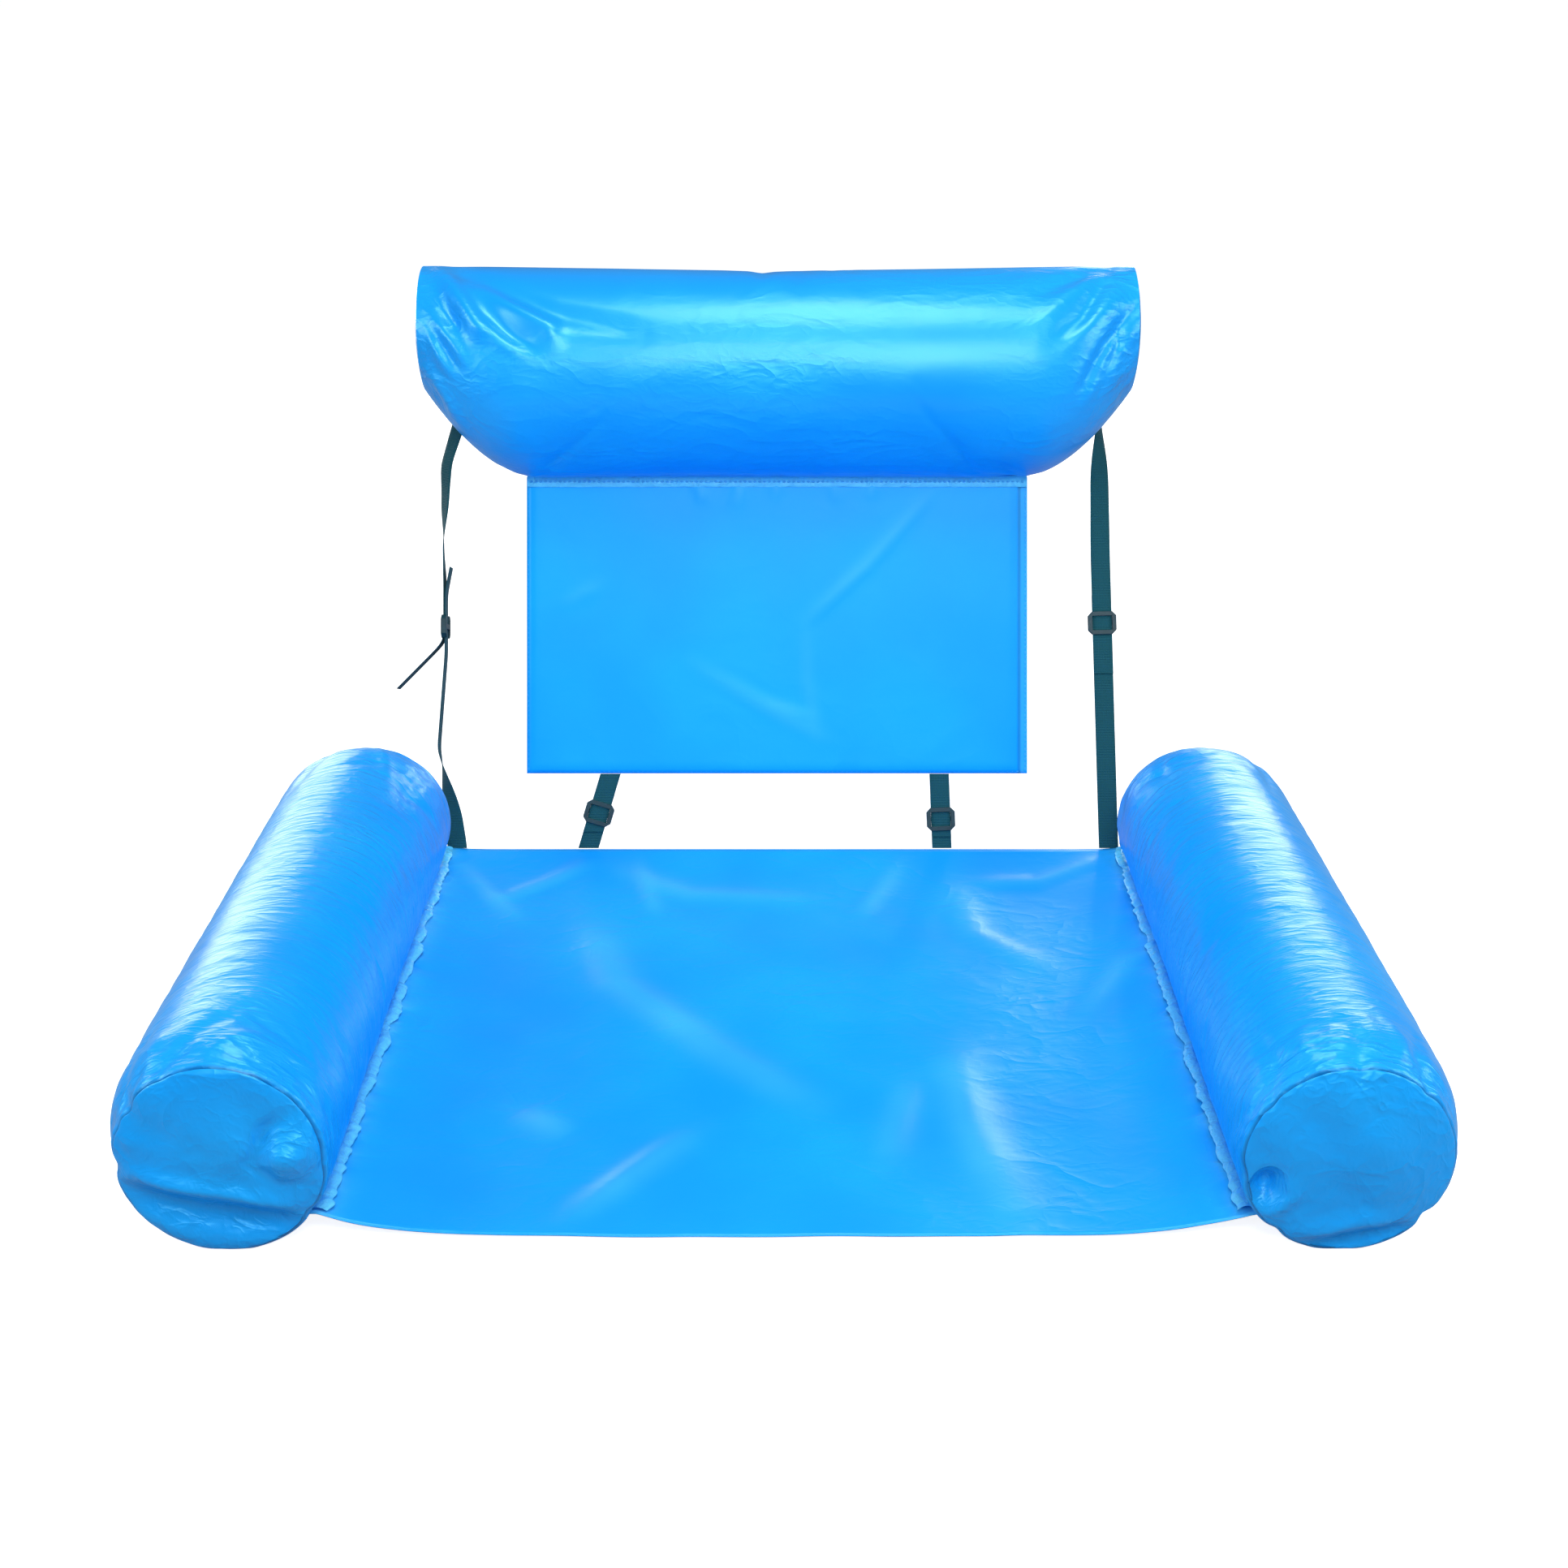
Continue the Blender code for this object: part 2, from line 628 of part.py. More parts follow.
def make_headrest(hinge, cutters):
    """Pillow sleeve, caps, bladder and back valve, carried by an empty on the panel's top seam."""
    seam = add_pivot("headrest_hinge", (0, 0, panel_top()), parent=hinge)
    sleeve = headrest_sleeve(seam)
    headrest_cap(-1, "headrest_left_cap", seam)
    headrest_cap(1, "headrest_right_cap", seam)
    bladder = headrest_bladder(seam)
    half_height, half_depth = headrest_half_section(HEADREST_VALVE_X)
    back = half_depth - HEADREST_BLADDER_INSET - HEADREST_FORWARD
    place = (HEADREST_VALVE_X, back + SEWN_GAP, HEADREST_TOP - half_height - panel_top())
    reach = HEADREST_BLADDER_INSET + VALVE_NECK_PROUD
    fit_valve("headrest", Matrix.Translation(place), reach, seam, bladder, sleeve, cutters)


def back_panel_cover(hinge, cutters):
    """The sewn pocket: flat faces that pinch together at the edges, open in a slit at the right."""
    half_width = PANEL_WIDTH / 2
    middle_z = (panel_top() + PANEL_BOTTOM) / 2
    half_height = (panel_top() - PANEL_BOTTOM) / 2
    rings = [
        (0, PANEL_EDGE_THICKNESS / 2),
        (PANEL_EDGE_WIDTH / 2, (PANEL_THICKNESS + PANEL_EDGE_THICKNESS) / 4),
        (PANEL_EDGE_WIDTH, PANEL_THICKNESS / 2),
    ]
    bm = bmesh.new()
    loops = []
    for facing, order in ((-1, reversed(rings)), (1, rings)):
        for inset, half_depth in order:
            x, z = half_width - inset, half_height - inset
            corners = ((-x, -z), (x, -z), (x, z), (-x, z))
            loops.append([bm.verts.new((a, facing * half_depth, b)) for a, b in corners])
    for lower, upper in zip(loops, loops[1:]):
        for k in range(4):
            n = (k + 1) % 4
            bm.faces.new((lower[k], lower[n], upper[n], upper[k]))
    bm.faces.new(loops[0])
    bm.faces.new(loops[-1])
    bmesh.ops.recalc_face_normals(bm, faces=bm.faces)
    mesh = bpy.data.meshes.new("back_panel_cover")
    bm.to_mesh(mesh)
    bm.free()
    matrix = Matrix.Translation((PANEL_SHIFT, 0, middle_z))
    part = add_part("back_panel_cover", mesh, FABRIC, hinge, matrix)
    room = stiffener_room()
    pocket = box_cutter("panel_pocket", room[0], room[1], hinge, matrix, cutters)
    mouth_low = (0, -PANEL_MOUTH_THICKNESS / 2, -PANEL_MOUTH_WIDTH / 2)
    mouth_high = (half_width + CUT_OVERRUN, PANEL_MOUTH_THICKNESS / 2, PANEL_MOUTH_WIDTH / 2)
    mouth = box_cutter("panel_mouth", mouth_low, mouth_high, hinge, matrix, cutters)
    cut_with(part, pocket)
    cut_with(part, mouth)
    return part


def stiffener_room():
    """The pocket's inner corners, measured from the middle of the panel."""
    depth = PANEL_THICKNESS / 2 - PANEL_WALL
    height = (panel_top() - PANEL_BOTTOM) / 2 - PANEL_EDGE_WIDTH
    left = -PANEL_WIDTH / 2 + PANEL_EDGE_WIDTH
    right = PANEL_WIDTH / 2 - PANEL_HEM
    return (left, -depth, -height), (right, depth, height)


def back_panel_stiffener(hinge):
    """The foam sheet in the pocket, an outline with rounded corners and a thickness."""
    low, high = (Vector(corner) for corner in stiffener_room())
    half_x = (high.x - low.x) / 2 - SEWN_GAP
    half_z = high.z - SEWN_GAP
    outline = bpy.data.curves.new("back_panel_stiffener", "CURVE")
    outline.dimensions = "2D"
    outline.fill_mode = "BOTH"
    outline.extrude = high.y - SEWN_GAP
    spline = outline.splines.new("POLY")
    points = []
    for sx, sz in ((1, 1), (-1, 1), (-1, -1), (1, -1)):
        corner = ((half_x, half_z - STIFFENER_CORNER), (half_x - STIFFENER_CORNER, half_z))
        pair = [(sx * a, sz * b) for a, b in corner]
        points += pair if sx * sz > 0 else pair[::-1]
    spline.points.add(len(points) - 1)
    for point, (x, z) in zip(spline.points, points):
        point.co = (x, z, 0, 1)
    spline.use_cyclic_u = True
    part = bpy.data.objects.new("back_panel_stiffener", outline)
    collection.objects.link(part)
    outline.materials.append(plain_material("stiffener_foam", FOAM["colour"], FOAM["roughness"]))
    part.parent = hinge
    middle = Vector((PANEL_SHIFT + (high.x + low.x) / 2, 0, (panel_top() + PANEL_BOTTOM) / 2))
    part.matrix_basis = Matrix.Translation(middle) @ Matrix.Rotation(math.pi / 2, 4, "X")
    return part


def smooth(share):
    """A share from 0 to 1, eased at both ends."""
    share = min(1, max(0, share))
    return share * share * (3 - 2 * share)


def strap_levels(stations, low, high):
    """The heights at which a length of webbing bends: its stations and even steps between them."""
    bends = [station[0] for station in stations] + [low + WEBBING_LEAD_IN]
    marks = [low] + sorted(bend for bend in bends if low < bend < high) + [high]
    levels = [low]
    for first, second in zip(marks, marks[1:]):
        steps = max(1, round((second - first) / WEBBING_STEP))
        levels += [first + (second - first) * (k + 1) / steps for k in range(steps)]
    return levels


def between(stations, up):
    """Place and twist along a strap at height up, eased between its hand-set stations."""
    for first, second in zip(stations, stations[1:]):
        if up <= second[0]:
            break
    share = (up - first[0]) / (second[0] - first[0])
    across = first[1] + (second[1] - first[1]) * share
    twist = first[2] + (second[2] - first[2]) * smooth(share)
    return across, math.radians(twist)


def strap_slope(stations, up):
    """How far a strap leans sideways for each metre that it climbs."""
    for first, second in zip(stations, stations[1:]):
        if up <= second[0]:
            break
    return (second[1] - first[1]) / (second[0] - first[0])


def webbing_point(stations, layer, root, across_share, up):
    """A point of a length of webbing: the two layers part from one plane above the hinge."""
    across, twist = between(stations, up)
    lean = math.hypot(1, strap_slope(stations, up))
    offset = layer * LAYER_OFFSET * (smooth((up - root) / WEBBING_LEAD_IN) if layer > 0 else 1)
    width = across_share * WEBBING_WIDTH
    x = across + width * math.cos(twist) * lean - offset * math.sin(twist)
    y = width * math.sin(twist) + offset * math.cos(twist)
    return Vector((x, y, up))


def webbing(name, stations, layer, low, high, hinge):
    """One flat length of webbing from low to high, a strip given its thickness."""
    levels = strap_levels(stations, low, high)
    rows = len(levels) - 1

    def place(u, v):
        return webbing_point(stations, layer, low, u - 0.5, levels[round(v * rows)])

    mesh = wrapped_mesh(name, 1, rows, place)
    part = add_part(name, mesh, WEBBING, hinge)
    give_thickness(part, WEBBING_THICKNESS, 0)
    return part


def slider_buckle(name, stations, up, hinge, cutters):
    """A three-bar slider: outer bars before the webbing, the centre bar behind it."""
    across, twist = between(stations, up)
    lean = math.atan(strap_slope(stations, up))
    matrix = (
        Matrix.Translation((across, 0, up))
        @ Matrix.Rotation(lean, 4, "Y")
        @ Matrix.Rotation(twist, 4, "Z")
    )
    room = WEBBING_THICKNESS + LAYER_GAP / 2 + SEWN_GAP
    half_depth = room + BUCKLE_BAR_DEPTH
    half_x, half_z = BUCKLE_WIDTH / 2, BUCKLE_HEIGHT / 2
    bm = bmesh.new()
    outline = []
    for sx, sz in ((1, 1), (-1, 1), (-1, -1), (1, -1)):
        corner = ((half_x, half_z - BUCKLE_CORNER), (half_x - BUCKLE_CORNER, half_z))
        pair = [(sx * a, sz * b) for a, b in corner]
        outline += pair if sx * sz > 0 else pair[::-1]
    face = bm.faces.new([bm.verts.new((x, -half_depth, z)) for x, z in outline])
    raised = bmesh.ops.extrude_face_region(bm, geom=[face])
    for item in raised["geom"]:
        if isinstance(item, bmesh.types.BMVert):
            item.co.y = half_depth
    bmesh.ops.recalc_face_normals(bm, faces=bm.faces)
    mesh = bpy.data.meshes.new(name)
    bm.to_mesh(mesh)
    bm.free()
    part = add_part(name, mesh, PLASTIC, hinge, matrix)
    bevel = part.modifiers.new("Rounded edges", "BEVEL")
    bevel.width = BUCKLE_EDGE_ROUND
    bevel.segments = 1
    half_slot = WEBBING_WIDTH / 2 + SEWN_GAP
    window = half_z - BUCKLE_OUTER_BAR
    past = half_z + CUT_OVERRUN
    behind = half_depth + CUT_OVERRUN
    bar = BUCKLE_CENTRE_BAR / 2
    boxes = {
        "channel": ((-half_slot, -room, -past), (half_slot, room, past)),
        "window": ((-half_slot, -behind, -window), (half_slot, 0, window)),
        "above": ((-half_slot, 0, bar), (half_slot, behind, past)),
        "below": ((-half_slot, 0, -past), (half_slot, behind, -bar)),
    }
    for word, (low, high) in boxes.items():
        cut_with(part, box_cutter(name + "_" + word, low, high, hinge, matrix, cutters))
    return part


def lower_route(side, foot_share, top_share):
    """A lower strap: its foot and top lie at shares of the panel's half width from its middle."""
    half_width = PANEL_WIDTH / 2
    foot = PANEL_SHIFT + side * foot_share * half_width
    top = PANEL_SHIFT + side * top_share * half_width
    return [(0.000, foot, 0), (LOWER_STRAP_REACH, top, 0)]


# Where a strap runs: (height up the backrest, place across, twist in degrees)
RIGHT_SIDE_ROUTE = [
    (0.000, 0.3345, 0),
    (0.180, 0.3291, 0),
    (0.300, 0.3255, 0),
    (0.370, 0.3245, 12),
    (0.450, 0.3233, 72),
]
LEFT_LOWER_ROUTE = lower_route(-1, LEFT_STRAP_FOOT_SHARE, LEFT_STRAP_TOP_SHARE)
RIGHT_LOWER_ROUTE = lower_route(1, RIGHT_STRAP_FOOT_SHARE, RIGHT_STRAP_TOP_SHARE)

# Each strap: the routes of its front and back lengths of webbing, where its buckle sits, how far
# the front length hangs below the buckle and how far the back length stands above it
STRAPS = {
    "left_side_strap": {
        "front": [
            (0.164, -0.3965, -90),
            (0.211, -0.3500, -90),
            (0.2135, -0.3484, -90),
            (0.275, -0.3484, -90),
            (0.310, -0.3500, -84),
            (0.360, -0.3480, -35),
            (0.440, -0.3484, 0),
        ],
        "back": [
            (0.000, -0.3365, 0),
            (0.030, -0.3400, -20),
            (0.102, -0.3560, -90),
            (0.200, -0.3484, -90),
            (0.262, -0.3484, -90),
            (0.290, -0.3430, -90),
        ],
        "buckle": 0.228,
        "tail_below": 0.064,
        "tail_above": 0.061,
    },
    "right_side_strap": {
        "front": RIGHT_SIDE_ROUTE,
        "back": RIGHT_SIDE_ROUTE,
        "buckle": 0.232,
        "tail_below": 0.052,
        "tail_above": 0.028,
    },
    "left_lower_strap": {
        "front": LEFT_LOWER_ROUTE,
        "back": LEFT_LOWER_ROUTE,
        "buckle": 0.0360,
        "tail_below": 0.019,
        "tail_above": 0.020,
    },
    "right_lower_strap": {
        "front": RIGHT_LOWER_ROUTE,
        "back": RIGHT_LOWER_ROUTE,
        "buckle": 0.0300,
        "tail_below": 0.018,
        "tail_above": 0.024,
    },
}


def strap_top(stations, layer):
    """The highest end of a side strap that stays just under the pillow's sewn underside."""
    corners = [webbing_point(stations, layer, 0, share, stations[-1][0]) for share in (-0.5, 0, 0.5)]
    underside = min(pillow_underside(corner.x, corner.y) for corner in corners)
    return underside - STRAP_TOP_CLEARANCE


def make_strap(name, strap, hinge, cutters):
    """The two lengths of webbing of one strap and the slider that joins them."""
    front, back = strap["front"], strap["back"]
    on_pillow = name.endswith("side_strap")
    top = strap_top(front, -1) if on_pillow else PANEL_BOTTOM - SEWN_GAP
    front_low = strap["buckle"] - strap["tail_below"]
    back_high = strap["buckle"] + strap["tail_above"]
    webbing(name + "_upper", front, -1, front_low, top, hinge)
    webbing(name + "_lower", back, 1, 0, back_high, hinge)
    slider_buckle(name + "_buckle", back, strap["buckle"], hinge, cutters)


def main():
    cutters = start_scene()
    seat_panel()
    for side, word in ((-1, "left"), (1, "right")):
        make_armrest(side, word, cutters)
        strap_x = abs(STRAPS[word + "_side_strap"]["back"][0][1])
        loop_x = strap_x + (WEBBING_WIDTH + LOOP_WIDTH) / 2 + SEWN_GAP
        corner_loop(word + "_corner_loop", side * loop_x)
    hem_top = seat_height(1, SEAT_REAR_Y) + COVER_THICKNESS / 2
    hinge = add_pivot("backrest_hinge", (0, SEAT_REAR_Y, hem_top + HINGE_LIFT), -RECLINE)
    back_panel_cover(hinge, cutters)
    back_panel_stiffener(hinge)
    make_headrest(hinge, cutters)
    for name, strap in STRAPS.items():
        make_strap(name, strap, hinge, cutters)


main()
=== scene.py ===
# %% [markdown]
# Inflatable water hammock
#
# The real object is a seat of coated nylon slung between two air-filled armrests. A flat panel
# and an air-filled headrest stand behind it, held by four webbing straps with slider buckles.
# This file dresses the exact CAD model: it loads that model as a fixed frame, and lays cloth,
# webbing, stitches and finishes over it, most pieces riding on the part that carries it.

# %% Load the exact model as the frame
import json
import math

import bmesh
import bpy
import numpy as np
from mathutils import Matrix, Vector, noise


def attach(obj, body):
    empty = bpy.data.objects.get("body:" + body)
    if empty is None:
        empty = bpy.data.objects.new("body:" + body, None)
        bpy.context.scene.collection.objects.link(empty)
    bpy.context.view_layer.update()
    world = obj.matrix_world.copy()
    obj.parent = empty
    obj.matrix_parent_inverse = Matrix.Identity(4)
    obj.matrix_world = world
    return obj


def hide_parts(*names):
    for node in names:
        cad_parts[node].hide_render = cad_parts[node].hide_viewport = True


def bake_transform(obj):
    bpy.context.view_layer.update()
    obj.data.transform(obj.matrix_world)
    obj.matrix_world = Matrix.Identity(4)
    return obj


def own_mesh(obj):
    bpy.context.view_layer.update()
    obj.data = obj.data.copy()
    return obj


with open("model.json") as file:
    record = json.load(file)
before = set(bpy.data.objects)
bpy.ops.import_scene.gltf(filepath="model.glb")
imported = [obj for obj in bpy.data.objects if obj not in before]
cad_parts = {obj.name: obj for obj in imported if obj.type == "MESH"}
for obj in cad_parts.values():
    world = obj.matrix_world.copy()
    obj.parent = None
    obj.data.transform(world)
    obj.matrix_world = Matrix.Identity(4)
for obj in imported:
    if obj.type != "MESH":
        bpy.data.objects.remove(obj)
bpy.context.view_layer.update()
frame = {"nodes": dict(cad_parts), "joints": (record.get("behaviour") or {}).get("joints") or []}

# %% [markdown]
# The same sizes as the source
#
# A dressed piece has to lie exactly where its solid lies, so it follows the same rule with the
# same sizes: the radius of the tubes, the place of the seams, the lean of the backrest. They are
# named here once, in metres.

# %% Sizes of the real object
SEWN_GAP = 0.0003
COVER_THICKNESS = 0.0008
SEAT_WIDTH = 0.712
SEAT_DEPTH = 0.670
SEAT_CENTRE_Y = -0.114
SEAT_LOWEST = 0.0012
SEAT_SAG_LENGTH = 0.050
SEAT_SAG_POWER = 6
ARMREST_RADIUS = 0.084
ARMREST_LENGTH = 0.641
ARMREST_FRONT_REACH = 0.016
ARMREST_TAPER_SHARE = 0.03
ARMREST_FLAT_CUT = 0.0005
HALF_FACET = math.pi / 28
SEAM_ANGLE = math.radians(-135)
RING_DRAW_IN = 0.0045
RING_DRAW_LENGTH = 0.022
FRONT_CAP_DOME = 0.012
REAR_CAP_DOME = 0.008
RECLINE = math.radians(22)
PANEL_WIDTH = 0.515
PANEL_SHIFT = -0.0072
PANEL_BOTTOM = 0.077
PANEL_THICKNESS = 0.0062
HEADREST_WIDTH = 0.7185
HEADREST_SHIFT = -0.006
HEADREST_TOP = 0.593
HEADREST_HEIGHT = 0.213
HEADREST_END_HEIGHT = 0.126
HEADREST_DEPTH = 0.175
HEADREST_END_DEPTH = 0.120
HEADREST_FORWARD = 0.020
HEADREST_SEAM_GAP = 0.0008
HEADREST_STRAIGHT_HALF = 0.250
HEADREST_DRAW_POWER = 1.8
HEADREST_CAP_DOME = 0.007

SEAM_X = SEAT_WIDTH / 2
SEAT_REAR_Y = SEAT_CENTRE_Y + SEAT_DEPTH / 2
SEAT_FRONT_Y = SEAT_CENTRE_Y - SEAT_DEPTH / 2
ARMREST_FRONT_Y = SEAT_FRONT_Y - ARMREST_FRONT_REACH
ARMREST_REAR_Y = ARMREST_FRONT_Y + ARMREST_LENGTH
HINGE = Vector(next(joint["pos_m"] for joint in frame["joints"] if joint["name"] == "backrest_recline"))
TO_BACKREST = Matrix.Translation(HINGE) @ Matrix.Rotation(-RECLINE, 4, "X")
print("backrest hinge at", [round(value, 4) for value in HINGE])

# %% [markdown]
# Camera
#
# The photograph looks down at the seat from in front, a little above the headrest. A 50 mm lens at
# this place and tilt puts the corners of the CAD model on the corners in the photograph.

# %% Camera at the photograph's angle
CAMERA_DISTANCE = 1.716
CAMERA_HEIGHT = 0.935
CAMERA_TILT = math.radians(22.3)
camera_data = bpy.data.cameras.new("photo_camera")
camera_data.lens = 50
camera = bpy.data.objects.new("photo_camera", camera_data)
bpy.context.scene.collection.objects.link(camera)
camera.location = (0, SEAT_CENTRE_Y - CAMERA_DISTANCE, CAMERA_HEIGHT)
camera.rotation_euler = (math.pi / 2 - CAMERA_TILT, 0, 0)
bpy.context.scene.camera = camera
print("camera at", tuple(round(value, 3) for value in camera.location))

# %% [markdown]
# Light and floor
#
# Glossy cloth shows its folds by what it mirrors, so seven wide soft lamps stand round the object.
# The key lamp and the top lamp light all of it, two behind it draw the pale bands along the tops
# of the tubes, a wide one in front lights the caps and the panel, and one at each side lights the
# flanks. The white world lifts the shadows a little. The floor is plain and pale, and keeps the
# soft contact shadow.

# %% Lamps, world and floor
LAMPS = {
    "key_softbox": {"place": (0.2, -1.9, 2.1), "aim": (0, -0.1, 0.1), "size": (1.2, 0.9), "watts": 31},
    "top_softbox": {"place": (0.1, -0.2, 2.3), "aim": (0, -0.1, 0.1), "size": (0.8, 0.8), "watts": 20},
    "back_softbox": {"place": (-1.5, 2.4, 0.62), "aim": (-0.1, -0.1, 0.1), "size": (1.3, 1.0), "watts": 20},
    "right_softbox": {"place": (1.1, 2.5, 0.8), "aim": (0.2, -0.1, 0.1), "size": (1.0, 0.8), "watts": 16},
    "front_softbox": {"place": (0.1, -2.3, 1.8), "aim": (0, 0, 0.3), "size": (2.2, 0.5), "watts": 10},
    "left_softbox": {"place": (-2.0, -0.6, 1.1), "aim": (0, -0.1, 0.2), "size": (1.1, 0.6), "watts": 15},
    "side_softbox": {"place": (2.0, -0.6, 1.1), "aim": (0, -0.1, 0.2), "size": (1.1, 0.6), "watts": 15},
}
WHITE = (1, 1, 1, 1)
WORLD_STRENGTH = 0.165
FLOOR_COLOUR = (0.80, 0.80, 0.80, 1)
FLOOR_BOUNCE_COLOUR = (0.36, 0.38, 0.42, 1)
FLOOR_GLOW = 0.875
FLOOR_ROUGHNESS = 0.9
FLOOR_SIZE = 80


def soft_lamp(name, place, aim, size, watts):
    """A rectangular lamp that looks at a point."""
    data = bpy.data.lights.new(name, "AREA")
    data.shape = "RECTANGLE"
    data.size, data.size_y = size
    data.energy = watts
    lamp = bpy.data.objects.new(name, data)
    bpy.context.scene.collection.objects.link(lamp)
    lamp.location = place
    lamp.rotation_euler = (Vector(aim) - Vector(place)).to_track_quat("-Z", "Y").to_euler()
    lamp.visible_camera = False
    return lamp


for lamp_name, lamp_facts in LAMPS.items():
    soft_lamp(lamp_name, **lamp_facts)


# %% Helpers that place and join shader nodes
# The numbers of the colour sockets of a Mix node
MIX_SHARE, MIX_FIRST, MIX_SECOND, MIX_RESULT = 0, 6, 7, 2


def add_node(tree, kind, inputs=None, **settings):
    """One shader node: its settings, and its inputs as values or as links from other nodes."""
    node = tree.nodes.new(kind)
    for key, value in settings.items():
        setattr(node, key, value)
    for key, value in (inputs or {}).items():
        if isinstance(value, bpy.types.NodeSocket):
            tree.links.new(value, node.inputs[key])
        else:
            node.inputs[key].default_value = value
    return node


def maths(tree, operation, first, second=0.0, third=0.0):
    """The result of one Math node."""
    return add_node(tree, "ShaderNodeMath", {0: first, 1: second, 2: third}, operation=operation).outputs[0]


def mix_colour(tree, share, first, second):
    """A colour between two, by a share that may change over the surface."""
    colours = {MIX_SHARE: share, MIX_FIRST: first, MIX_SECOND: second}
    return add_node(tree, "ShaderNodeMix", colours, data_type="RGBA").outputs[MIX_RESULT]


def speckle(tree, vector, scale, detail=2.0, distortion=0.0):
    """The value of one Noise node, from 0 to 1."""
    inputs = {"Vector": vector, "Scale": scale, "Detail": detail, "Distortion": distortion}
    return add_node(tree, "ShaderNodeTexNoise", inputs).outputs["Fac"]


def attribute(tree, name):
    """The numbers painted on a mesh under a name."""
    return add_node(tree, "ShaderNodeAttribute", attribute_name=name).outputs["Fac"]


def bump(tree, height, distance, strength, **under):
    """The normal of a relief; Normal gives one that lies under it."""
    inputs = {"Height": height, "Distance": distance, "Strength": strength, **under}
    return add_node(tree, "ShaderNodeBump", inputs).outputs[0]


def feed(tree, shader, **sources):
    """Link each source to the shader's input of that name."""
    for key, source in sources.items():
        tree.links.new(source, shader.inputs[key.replace("_", " ")])


# %% Helpers that start a material or a group
def principled(name, **values):
    """A new material, and the tree and Principled shader in it, with plain values set."""
    material = bpy.data.materials.new(name)
    material.use_nodes = True
    tree = material.node_tree
    shader = tree.nodes["Principled BSDF"]
    for key, value in values.items():
        shader.inputs[key.replace("_", " ")].default_value = value
    return material, tree, shader


def node_group(name, inputs, outputs):
    """An empty shader group with named sockets; inputs maps a name to its kind and value."""
    tree = bpy.data.node_groups.new(name, "ShaderNodeTree")
    for key, (kind, value) in inputs.items():
        socket = tree.interface.new_socket(key, in_out="INPUT", socket_type=kind)
        if value is not None:
            socket.default_value = value
    for key, kind in outputs.items():
        tree.interface.new_socket(key, in_out="OUTPUT", socket_type=kind)
    return tree, tree.nodes.new("NodeGroupInput").outputs, tree.nodes.new("NodeGroupOutput").inputs


def use_group(tree, group, inputs):
    """A group placed in a material with its own values; gives the group's outputs."""
    return add_node(tree, "ShaderNodeGroup", inputs, node_tree=group).outputs


def seen_directly(tree):
    """One where a camera or a see-through surface looks, and nothing in reflected light."""
    path = add_node(tree, "ShaderNodeLightPath").outputs
    return maths(tree, "MAXIMUM", path["Is Camera Ray"], path["Is Transmission Ray"])


# %% White world and pale floor
def white_world():
    """A plain white surround, full white to the camera and dim as a light."""
    world = bpy.data.worlds.new("white_surround")
    world.use_nodes = True
    tree = world.node_tree
    background = tree.nodes["Background"]
    background.inputs["Color"].default_value = WHITE
    strength = maths(tree, "MULTIPLY_ADD", seen_directly(tree), 1 - WORLD_STRENGTH, WORLD_STRENGTH)
    feed(tree, background, Strength=strength)
    bpy.context.scene.world = world


def pale_floor():
    """A wide matte floor that is part of the stage and not of the object."""
    mesh = bpy.data.meshes.new("floor")
    reach = FLOOR_SIZE / 2
    corners = ((-reach, -reach, 0), (reach, -reach, 0), (reach, reach, 0), (-reach, reach, 0))
    mesh.from_pydata(corners, [], [(0, 1, 2, 3)])
    floor = bpy.data.objects.new("floor", mesh)
    bpy.context.scene.collection.objects.link(floor)
    material, tree, shader = principled("floor_paint", Roughness=FLOOR_ROUGHNESS, Emission_Color=WHITE)
    seen = seen_directly(tree)
    colour = mix_colour(tree, seen, FLOOR_BOUNCE_COLOUR, FLOOR_COLOUR)
    feed(tree, shader, Base_Color=colour, Emission_Strength=maths(tree, "MULTIPLY", seen, FLOOR_GLOW))
    mesh.materials.append(material)


white_world()
pale_floor()
bpy.context.scene.view_settings.view_transform = "Standard"
print("lamps:", ", ".join(LAMPS))

# %% [markdown]
# Coated nylon
#
# The cover cloth is tightly woven nylon with a shiny water-proof coat. Three things make it read
# as nylon: a weave of fine threads, crinkles some millimetres wide that break up every highlight,
# and a coat that mirrors lamps in long soft bands. The weave and the crinkles are shader groups,
# because the panel, the seat and the tubes all use them with their own strengths.

# %% Group: plain weave
THREADS_PER_METRE = 1400
WEAVE_HEIGHT = 0.00006
WEAVE_STRENGTH = 0.3
FABRIC_BRIGHT = (0.006, 0.385, 1.0, 1)
FABRIC_DEEP = (0.004, 0.330, 0.95, 1)
# The paler colour: a painted highlight on crinkle and crease ridges, painted light over the seam cloth, and
# the panel's paler hem
FABRIC_PALE = (0.13, 0.66, 1.0, 1)
# A painted highlight along crease ridges, and the paler hem, by these shares: everywhere, and more in patches
CREASE_EVEN_SHARE = 0.18
CREASE_PATCH_SHARE = 0.22
# The dark blue of the painted shade in the ring seams' grooves and along the panel's hem step
SEAM_SHADE_COLOUR = (0.001, 0.055, 0.22, 1)
# The coat is dyed too, so most of the mirrored light takes its colour and the rest stays clear
SHINE_COLOUR = (0.22, 0.80, 1.0, 1)
DYED_SHARE = 2.2
CLEAR_SHARE = 0.28


